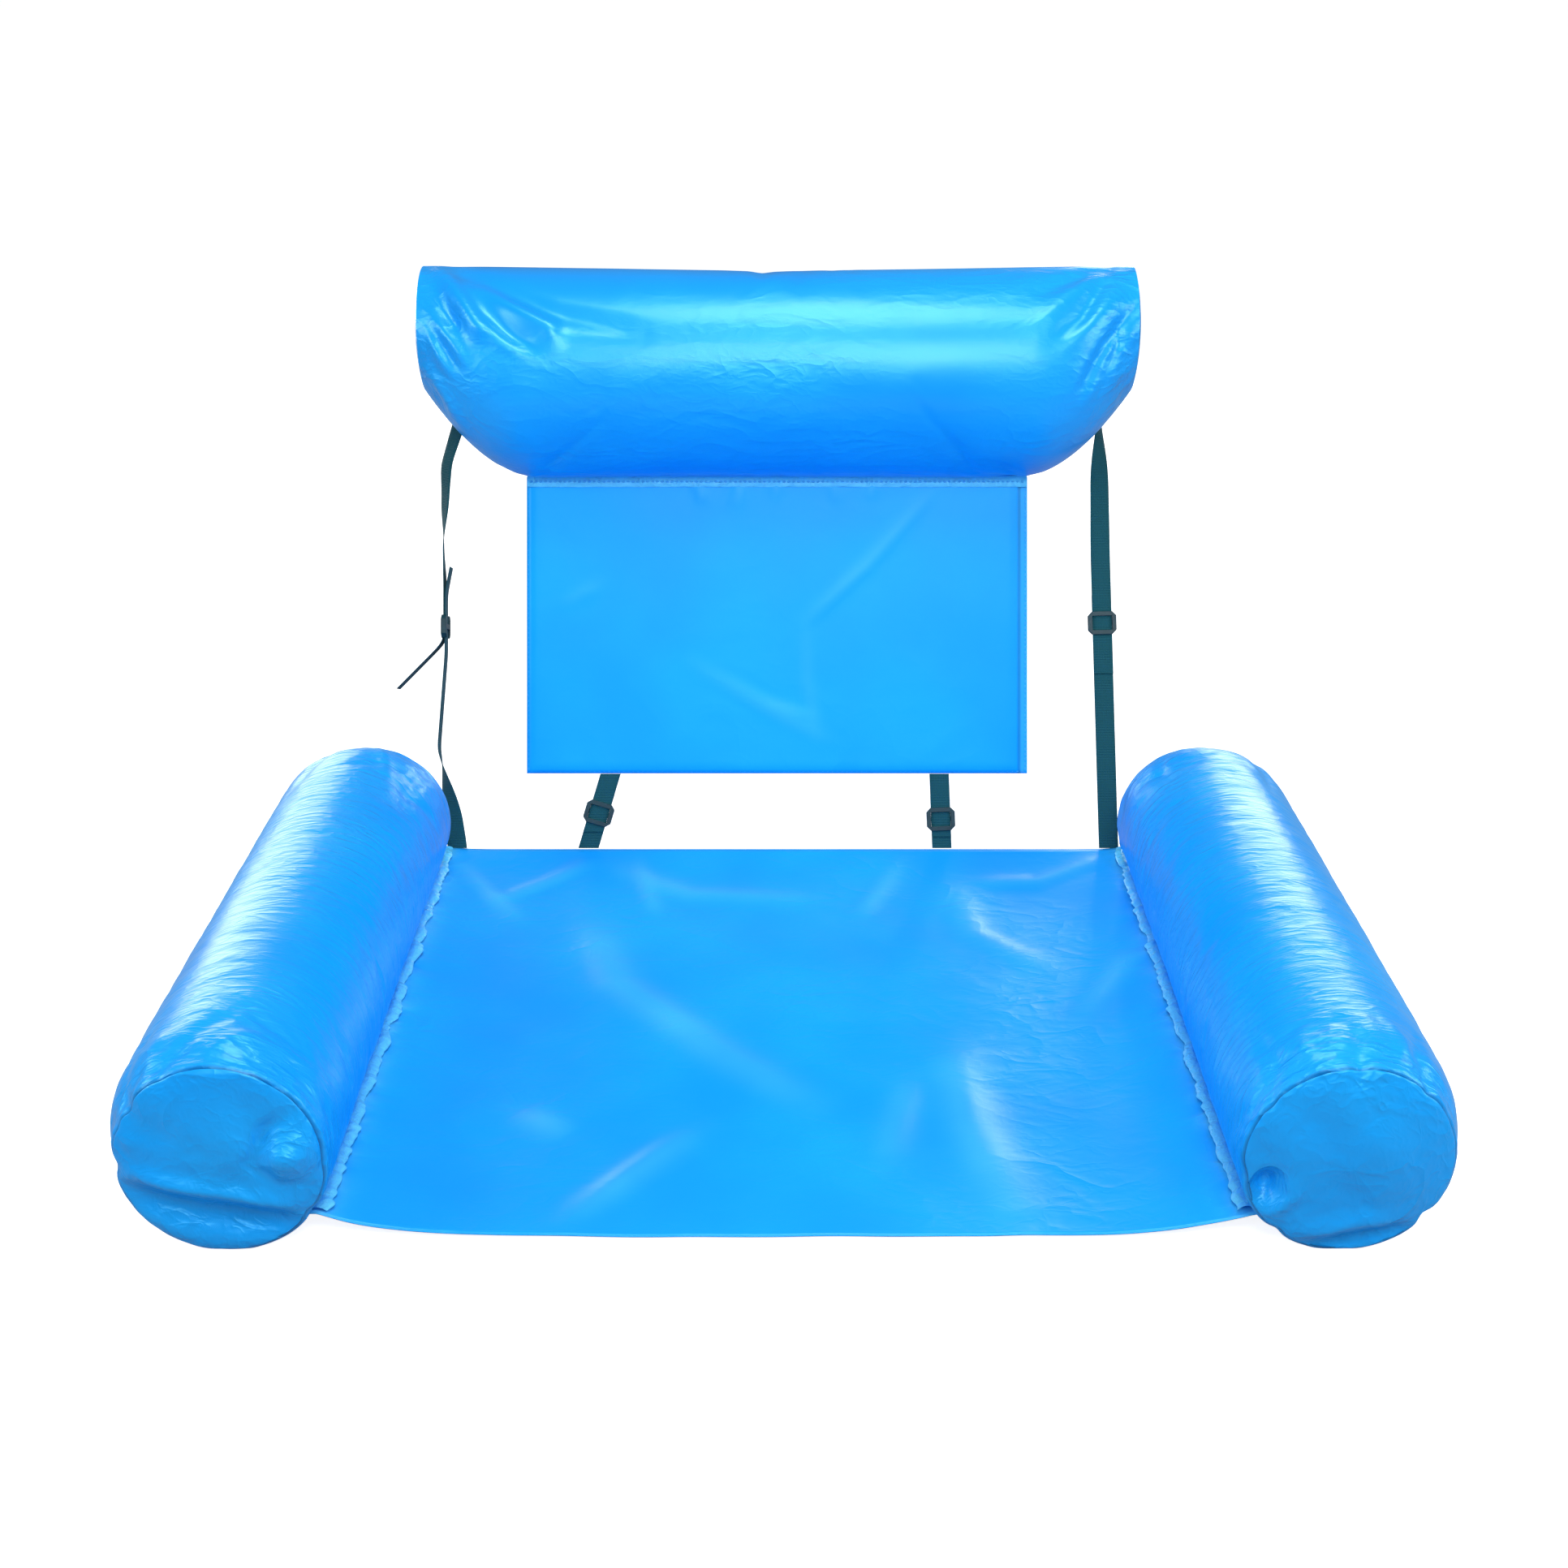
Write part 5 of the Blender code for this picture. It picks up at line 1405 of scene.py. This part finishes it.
def panel_piece():
    """The two faces joined along their edges into one closed pocket."""
    front, inward = panel_points(-1)
    back, _ = panel_points(1)
    size = (PANEL_WIDTH, PANEL_TOP - PANEL_BOTTOM)
    near = fade(inward, PANEL_SEAM_REACH)
    middle = to_world(np.array([[PANEL_SHIFT, 0, PANEL_MID_Z]]))[0]
    piece = grid_piece("back_panel_cloth", to_world(front), size, PANEL_NYLON, near_seam=near)
    # The front's crease ridges are painted paler: a painted highlight
    ridges = crease_height(front[..., 0], front[..., 2], PANEL_CREASES, softness=PANEL_CREASE_SOFTNESS)
    from_right = PANEL_RIGHT_X - front[..., 0]
    # The flat hem strip at the right is painted paler
    hem_pale = HEM_PALE_SHARE * (from_right < PANEL_HEM * HEM_FLAT_SHARE)
    paint(piece.data, "crease_highlight_and_pale_hem", np.clip(ridges / PANEL_CREASE_FULL + hem_pale, 0, 1), front.shape[:2])
    # A painted shade along the hem's step
    hem_shade = HEM_SHADE_SHARE * fade(np.abs(from_right - PANEL_HEM * HEM_FLAT_SHARE), HEM_SHADE_WIDTH)
    paint(piece.data, "painted_seam_shade", hem_shade, front.shape[:2])
    other = grid_piece("back_panel_rear", to_world(back[:, ::-1]), size, PANEL_NYLON, near_seam=near)
    rework(piece, lambda bm: bmesh.ops.bridge_loops(bm, edges=open_edges(bm)), other)
    bpy.data.objects.remove(other, do_unlink=True)
    piece.data.shade_smooth()
    face_outward(piece.data, middle)
    dress(piece, "backrest", "back_panel_cover")
    return piece


panel_cloth = panel_piece()
print("panel:", len(panel_cloth.data.polygons), "faces")

# %% [markdown]
# Webbing
#
# The straps are flat woven polyester, 20 mm wide and 1 mm thick. A strip of quads follows each
# strap's route, its width turned by the twist that the photograph shows, and its finish draws the
# fine cross ribs and the threads across them that make webbing look woven.

# %% Finish: dark webbing
WEBBING_WIDTH = 0.020
WEBBING_THICKNESS = 0.0010
LAYER_GAP = 0.0003
WEBBING_LEAD_IN = 0.009
LAYER_OFFSET = (WEBBING_THICKNESS + LAYER_GAP) / 2
RIBS_PER_METRE = 620
# Threads lie across the ribs, closer by the first share and lower by the second
THREAD_COUNT_SHARE, THREAD_HEIGHT_SHARE = 1.3, 0.4
WEBBING_GRAIN_SCALE = 900.0
WEBBING_DARK = (0.0018, 0.042, 0.062, 1)
WEBBING_PALE = (0.0055, 0.108, 0.140, 1)
WEBBING_SHADE_SPREAD, WEBBING_SHADE_MIDDLE = 0.16, 0.5
WEBBING_ROUGHNESS_SPREAD, WEBBING_ROUGHNESS_LEAST = 0.2, 0.6
RIB_HEIGHT, RIB_STRENGTH = 0.00022, 0.8
WEBBING_SPECULAR, WEBBING_SHEEN = 0.2, 0.04


def webbing_finish():
    """Dark teal woven strap, from cloth coordinates in metres."""
    material, tree, shader = principled(
        "dark_webbing", Specular_IOR_Level=WEBBING_SPECULAR, Sheen_Weight=WEBBING_SHEEN
    )
    cloth = add_node(tree, "ShaderNodeUVMap", uv_map="cloth").outputs[0]
    split = add_node(tree, "ShaderNodeSeparateXYZ", {0: cloth}).outputs
    turns = RIBS_PER_METRE * 2 * math.pi
    threads = maths(tree, "SINE", maths(tree, "MULTIPLY", split["X"], turns * THREAD_COUNT_SHARE))
    along = maths(tree, "SINE", maths(tree, "MULTIPLY", split["Y"], turns))
    ribs = maths(tree, "MULTIPLY_ADD", threads, THREAD_HEIGHT_SHARE, along)
    grain = speckle(tree, cloth, WEBBING_GRAIN_SCALE)
    height = maths(tree, "ADD", ribs, grain)
    shade = maths(tree, "MULTIPLY_ADD", height, WEBBING_SHADE_SPREAD, WEBBING_SHADE_MIDDLE)
    rough = maths(tree, "MULTIPLY_ADD", grain, WEBBING_ROUGHNESS_SPREAD, WEBBING_ROUGHNESS_LEAST)
    relief = bump(tree, height, RIB_HEIGHT, RIB_STRENGTH)
    colour = mix_colour(tree, shade, WEBBING_DARK, WEBBING_PALE)
    feed(tree, shader, Base_Color=colour, Roughness=rough, Normal=relief)
    return material


STRAP_FINISH = webbing_finish()

# %% Where the straps run: (height up the backrest, place across, twist in degrees)
RIGHT_SIDE_ROUTE = [
    (0.000, 0.3345, 0),
    (0.180, 0.3291, 0),
    (0.300, 0.3255, 0),
    (0.370, 0.3245, 12),
    (0.450, 0.3233, 72),
]
LEFT_LOWER_ROUTE = [(0.000, -0.2015, 0), (0.090, -0.1746, 0)]
RIGHT_LOWER_ROUTE = [(0.000, 0.1627, 0), (0.090, 0.1592, 0)]
LEFT_SIDE_FRONT = [
    (0.164, -0.3965, -90),
    (0.211, -0.3500, -90),
    (0.2135, -0.3484, -90),
    (0.275, -0.3484, -90),
    (0.310, -0.3500, -84),
    (0.360, -0.3480, -58),
    (0.395, -0.3470, -48),
    (0.440, -0.3330, -40),
]
LEFT_SIDE_BACK = [
    (0.000, -0.3365, 0),
    (0.030, -0.3400, -20),
    (0.102, -0.3560, -90),
    (0.200, -0.3484, -90),
    (0.262, -0.3484, -90),
    (0.290, -0.3430, -90),
]
# Each strap: the routes of its front and back layers, its buckle's height and its two loose tails
STRAPS = {
    "left_side_strap": (LEFT_SIDE_FRONT, LEFT_SIDE_BACK, 0.228, 0.064, 0.061),
    "right_side_strap": (RIGHT_SIDE_ROUTE, RIGHT_SIDE_ROUTE, 0.232, 0.052, 0.028),
    "left_lower_strap": (LEFT_LOWER_ROUTE, LEFT_LOWER_ROUTE, 0.0360, 0.019, 0.020),
    "right_lower_strap": (RIGHT_LOWER_ROUTE, RIGHT_LOWER_ROUTE, 0.0300, 0.018, 0.024),
}
STRAP_TOP_CLEARANCE = 0.0022
STRAP_TUCK = 0.020


def smooth(share):
    """A share from 0 to 1, eased at both ends."""
    share = min(1, max(0, share))
    return share * share * (3 - 2 * share)


def strap_place(route, up):
    """Place across, twist in radians and sideways slope of a strap at height up."""
    for first, second in zip(route, route[1:]):
        if up <= second[0]:
            break
    share = (up - first[0]) / (second[0] - first[0])
    across = first[1] + (second[1] - first[1]) * share
    twist = math.radians(first[2] + (second[2] - first[2]) * smooth(share))
    return across, twist, (second[1] - first[1]) / (second[0] - first[0])


def strap_point(route, layer, root, across_share, through, up):
    """A point of the webbing's cross-section, in the backrest's frame."""
    across, twist, slope = strap_place(route, up)
    lean = math.hypot(1, slope)
    offset = layer * LAYER_OFFSET * (smooth((up - root) / WEBBING_LEAD_IN) if layer > 0 else 1)
    offset += through * WEBBING_THICKNESS
    width = across_share * WEBBING_WIDTH
    x = across + width * math.cos(twist) * lean - offset * math.sin(twist)
    return (x, width * math.sin(twist) + offset * math.cos(twist), up)


# %% Build a length of webbing
WEBBING_ROW_STEP = 0.004
# The cross-section of webbing, half way round and then once round: share of the width, share of
# the thickness
WEBBING_FACE = [(-0.50, 0.0), (-0.485, -0.42), (-0.25, -0.5), (0.0, -0.5), (0.25, -0.5), (0.485, -0.42)]
WEBBING_SECTION = WEBBING_FACE + [(-across, -through) for across, through in WEBBING_FACE]
WEBBING_LEAST_ROWS = 3
# Flat, the cloth coordinates run once round the webbing: both faces and both edges
WEBBING_GIRTH_SHARE = 2.1
SMOOTHING_ROUNDS = 3
NEIGHBOUR_SHARE = 0.25
SHARP_ANGLE = math.radians(60)


def webbing_piece(name, route, layer, low, high):
    """One flat length of webbing between two heights."""
    rows = max(WEBBING_LEAST_ROWS, round((high - low) / WEBBING_ROW_STEP))
    levels = np.linspace(low, high, rows)
    raw = [[strap_point(route, layer, low, a, t, up) for a, t in WEBBING_SECTION] for up in levels]
    points = np.array(raw)
    for _ in range(SMOOTHING_ROUNDS):
        own = points[1:-1] * (1 - 2 * NEIGHBOUR_SHARE)
        points[1:-1] = points[:-2] * NEIGHBOUR_SHARE + own + points[2:] * NEIGHBOUR_SHARE
    points = to_world(points.reshape(-1, 3)).reshape(points.shape)
    flat = (WEBBING_GIRTH_SHARE * WEBBING_WIDTH, high - low)
    piece = grid_piece(name + "_webbing", points, flat, STRAP_FINISH, closed=True)
    rework(piece, lambda bm: bmesh.ops.holes_fill(bm, edges=open_edges(bm)))
    piece.data.set_sharp_from_angle(angle=SHARP_ANGLE)
    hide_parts(name)
    return piece


def strap_top(route):
    """The highest end of a side strap that stays just under the pillow's sewn underside."""
    up = route[-1][0]
    for across_share in (-0.5, 0, 0.5):
        x, y, _ = strap_point(route, -1, 0, across_share, 0, route[-1][0])
        up = min(up, float(pillow_underside(x, y)) - STRAP_TOP_CLEARANCE)
    return up


straps = {}
for name, (front, back, buckle_up, tail_below, tail_above) in STRAPS.items():
    top = strap_top(front) if "side" in name else PANEL_BOTTOM - SEWN_GAP
    tuck = STRAP_TUCK if "side" in name else 0
    upper = webbing_piece(name + "_upper", front, -1, buckle_up - tail_below, top + tuck)
    lower = webbing_piece(name + "_lower", back, 1, 0, buckle_up + tail_above)
    straps[name] = (upper, lower)
print("webbing:", len(straps), "straps of two lengths each")

# %% Straps that bend with the headrest or crumple past the armrests
for name in ("left_side_strap", "right_side_strap"):
    upper, lower = straps[name]
    top_route = STRAPS[name][0]
    end = strap_top(top_route)
    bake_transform(upper)
    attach(lower, "backrest")
    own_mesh(lower)
for name in ("left_lower_strap", "right_lower_strap"):
    for piece in straps[name]:
        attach(piece, "backrest")

# %% [markdown]
# Finishes of the carried-over parts
#
# The sliders, valves and plugs are rigid and exact already, so they stay as they are and only get
# a finish: dark moulded plastic for the sliders, and soft milky plastic for the valves. The air
# bladders and the foam, which the covers hide, get a finish too.

# %% Finishes with a fine noise: plastics, film, foam and thread
MILKY_DARK_SHARE = 0.82
MILKY_ROUGHNESS_SPREAD = 0.2
MILKY_CLOUD = {"scale": 160.0, "detail": 3.0, "relief": (0.0002, 0.3), "Specular_IOR_Level": 0.5}
GRAIN_DETAIL = 3.0
DARK_PLASTIC = {
    "dark": (0.0012, 0.022, 0.034, 1),
    "pale": (0.004, 0.052, 0.070, 1),
    "scale": 120.0,
    "detail": 4.0,
    "grain_scale": 1500.0,
    "relief": (0.00006, 0.5),
    "roughness": (0.25, 0.28),
    "Specular_IOR_Level": 0.45,
}
BLUE_THREAD = {
    "dark": (0.008, 0.27, 0.78, 1),
    "pale": (0.10, 0.62, 1.0, 1),
    "scale": 700.0,
    "detail": 2.0,
    "relief": (0.0001, 0.6),
    "roughness": None,
    "Roughness": 0.5,
    "Specular_IOR_Level": 0.4,
}


def speckled(name, dark, pale, scale, detail, relief, roughness, grain_scale=None, **constants):
    """A finish between two colours; relief is height and strength, roughness is spread and least."""
    material, tree, shader = principled(name, **constants)
    place = add_node(tree, "ShaderNodeTexCoord").outputs["Object"]
    cloud = speckle(tree, place, scale, detail)
    grain = speckle(tree, place, grain_scale, GRAIN_DETAIL) if grain_scale else cloud
    feed(tree, shader, Base_Color=mix_colour(tree, cloud, dark, pale), Normal=bump(tree, grain, *relief))
    if roughness:
        feed(tree, shader, Roughness=maths(tree, "MULTIPLY_ADD", cloud, *roughness))
    return material


def milky(name, colour, roughness):
    """Soft vinyl, film or foam with a slight cloudiness."""
    dark = tuple(value * MILKY_DARK_SHARE for value in colour)
    rough = (MILKY_ROUGHNESS_SPREAD, roughness)
    return speckled(name, dark + (1,), colour + (1,), roughness=rough, **MILKY_CLOUD)


FINISHES = {
    "buckle": speckled("dark_plastic", **DARK_PLASTIC),
    "valve": milky("valve_vinyl", (0.66, 0.76, 0.82), 0.28),
    "bladder": milky("bladder_film", (0.60, 0.68, 0.72), 0.18),
    "stiffener": milky("stiffener_foam", (0.80, 0.82, 0.83), 0.75),
    "loop": SEAT_NYLON,
}
for node_name, node in frame["nodes"].items():
    for word, finish in FINISHES.items():
        if word in node_name:
            node.data.materials.clear()
            node.data.materials.append(finish)
print("finishes given to the carried-over parts")

# %% [markdown]
# Stitches
#
# A row of lockstitches is a row of short raised threads. One small rounded stitch is built once and
# laid along each sewn line, all stitches of a line joined in one mesh, so that the thread catches
# light as real thread does.

# %% Build rows of stitches
STITCH_LENGTH = 0.0034
STITCH_PITCH = 0.0050
STITCH_RADIUS = 0.00045
STITCH_SIDES = 6
STITCH_LIFT = 0.0004
STITCH_MARGIN = 0.0022
STITCH_LINE_POINTS = 40
# Along a stitch: share of its length, and of its thickness
STITCH_SWELL = ((0.0, 0.35), (0.25, 0.9), (0.5, 1.0), (0.75, 0.9), (1.0, 0.35))
THREAD_FINISH = speckled("blue_thread", **BLUE_THREAD)


def stitch_row(name, line, radius=STITCH_RADIUS):
    """Stitches along a line of points on the panel, one mesh for the whole row."""
    steps = np.linalg.norm(np.diff(line, axis=0), axis=1)
    run = np.concatenate([[0], np.cumsum(steps)])
    bm = bmesh.new()
    for number in range(int(run[-1] / STITCH_PITCH)):
        middle = (number + 0.5) * STITCH_PITCH
        first, last = (
            Vector([np.interp(end, run, line[:, k]) for k in range(3)])
            for end in (middle - STITCH_LENGTH / 2, middle + STITCH_LENGTH / 2)
        )
        add_stitch(bm, first, last, radius)
    mesh = bpy.data.meshes.new(name)
    bm.to_mesh(mesh)
    bm.free()
    mesh.materials.append(THREAD_FINISH)
    mesh.shade_smooth()
    piece = bpy.data.objects.new(name, mesh)
    bpy.context.scene.collection.objects.link(piece)
    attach(piece, "backrest")
    return piece


def add_stitch(bm, first, last, radius):
    """One stitch: a short thread, thickest in the middle and pulled in at both holes."""
    aim = (last - first).to_track_quat("Z", "Y")
    rings = []
    for share, swell in STITCH_SWELL:
        centre = first.lerp(last, share)
        ring = []
        for step in range(STITCH_SIDES):
            turn = 2 * math.pi * step / STITCH_SIDES
            spoke = Vector((math.cos(turn), math.sin(turn), 0)) * radius * swell
            ring.append(bm.verts.new(centre + aim @ spoke))
        rings.append(ring)
    for low, high in zip(rings, rings[1:]):
        for step in range(STITCH_SIDES):
            following = (step + 1) % STITCH_SIDES
            bm.faces.new((low[step], low[following], high[following], high[step]))
    bm.faces.new(rings[0][::-1])
    bm.faces.new(rings[-1])


# %% Stitches along the panel's edges
def panel_line(start, end, lift=STITCH_LIFT):
    """Points along a straight sewn line on the panel's front, across and up."""
    shares = np.linspace(0, 1, STITCH_LINE_POINTS)[:, None]
    flat = np.array([start]) * (1 - shares) + np.array([end]) * shares
    depth = np.full((len(flat), 1), -PANEL_EDGE_THICKNESS / 2 - lift)
    return to_world(np.concatenate([flat[:, :1], depth, flat[:, 1:]], axis=1))


left, right = PANEL_LEFT_X + STITCH_MARGIN, PANEL_RIGHT_X - STITCH_MARGIN
low, high = PANEL_BOTTOM + STITCH_MARGIN, PANEL_TOP - STITCH_MARGIN
SEWN_EDGES = {
    "bottom": ((left, low), (right, low)),
    "right": ((right, low), (right, high)),
    "left": ((left, low), (left, high)),
}
stitch_rows = [
    stitch_row("panel_" + edge + "_stitches", panel_line(*ends)) for edge, ends in SEWN_EDGES.items()
]
print("stitch rows:", len(stitch_rows))

# %% [markdown]
# Seam between the headrest and the panel
#
# The pillow's cloth runs down over the panel's top edge and is sewn flat to its front. This narrow
# band is the hinge that the headrest tilts about. It puckers between the stitches, and it runs
# from the panel to the headrest.

# %% Build the puckered band and its stitches
BAND_COLUMNS = 420
BAND_MARGIN = 0.001
BAND_HEIGHT = 0.022
BAND_STITCH_BELOW = 0.0052
BAND_STITCH_LIFT = 0.0036
BAND_STITCH_RADIUS = 0.0011
PUCKER_HEIGHT = 0.0019
PUCKER_SHARE = 0.6
PUCKER_UP_SHARE = 0.5
# Waves a metre and seed of the puckers in depth, fine and broad, and of those in height
FINE_PUCKERS, BROAD_PUCKERS, UP_PUCKERS = (150, 21.0), (48, 23.0), (80, 27.0)
# Down the band, from the panel to the pillow: depth in front of the hinge, height above the
# panel's top edge, and how much the band puckers there
BAND_SECTION = [
    (0.0034, -0.0108, 0.05),
    (0.0044, -0.0100, 0.6),
    (0.0047, -0.0070, 0.9),
    (0.0043, -0.0052, 0.15),
    (0.0050, -0.0030, 1.0),
    (0.0066, 0.0000, 1.0),
    (0.0100, 0.0008, 0.5),
    (0.0150, -0.0008, 0.1),
]


def band_points():
    """Rows of points across the panel, each a section from the panel to the pillow."""
    x = np.linspace(PANEL_LEFT_X + BAND_MARGIN, PANEL_RIGHT_X - BAND_MARGIN, BAND_COLUMNS)[None, :]
    depth, up, wave = (np.array(BAND_SECTION)[:, k, None] for k in range(3))
    x = x + np.zeros_like(depth)
    pucker = PUCKER_SHARE * ripples(x, up, *FINE_PUCKERS) + PUCKER_SHARE * ripples(x, up, *BROAD_PUCKERS)
    y = -(depth + wave * PUCKER_HEIGHT * pucker)
    z = PANEL_TOP + up + wave * PUCKER_HEIGHT * PUCKER_UP_SHARE * ripples(x, up, *UP_PUCKERS)
    return to_world(np.stack([x, y, z], axis=-1))


def seam_band():
    """The puckered band as one piece between the panel and the headrest."""
    flat = (PANEL_WIDTH, BAND_HEIGHT)
    # Its cloth is painted paler all over: painted light that keeps it pale in the pillow's shade
    piece = grid_piece("headrest_seam_band", band_points(), flat, SEAM_NYLON, near_seam=EVERYWHERE)
    thicken(piece, COVER_THICKNESS / 2)
    refine(piece)
    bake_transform(piece)
    return piece


seam_band_cloth = seam_band()
level = PANEL_TOP - BAND_STITCH_BELOW
band_line = panel_line((left, level), (right, level), lift=BAND_STITCH_LIFT)
band_stitches = stitch_row("headrest_seam_stitches", band_line, radius=BAND_STITCH_RADIUS)
print("seam band:", len(seam_band_cloth.data.polygons), "faces")
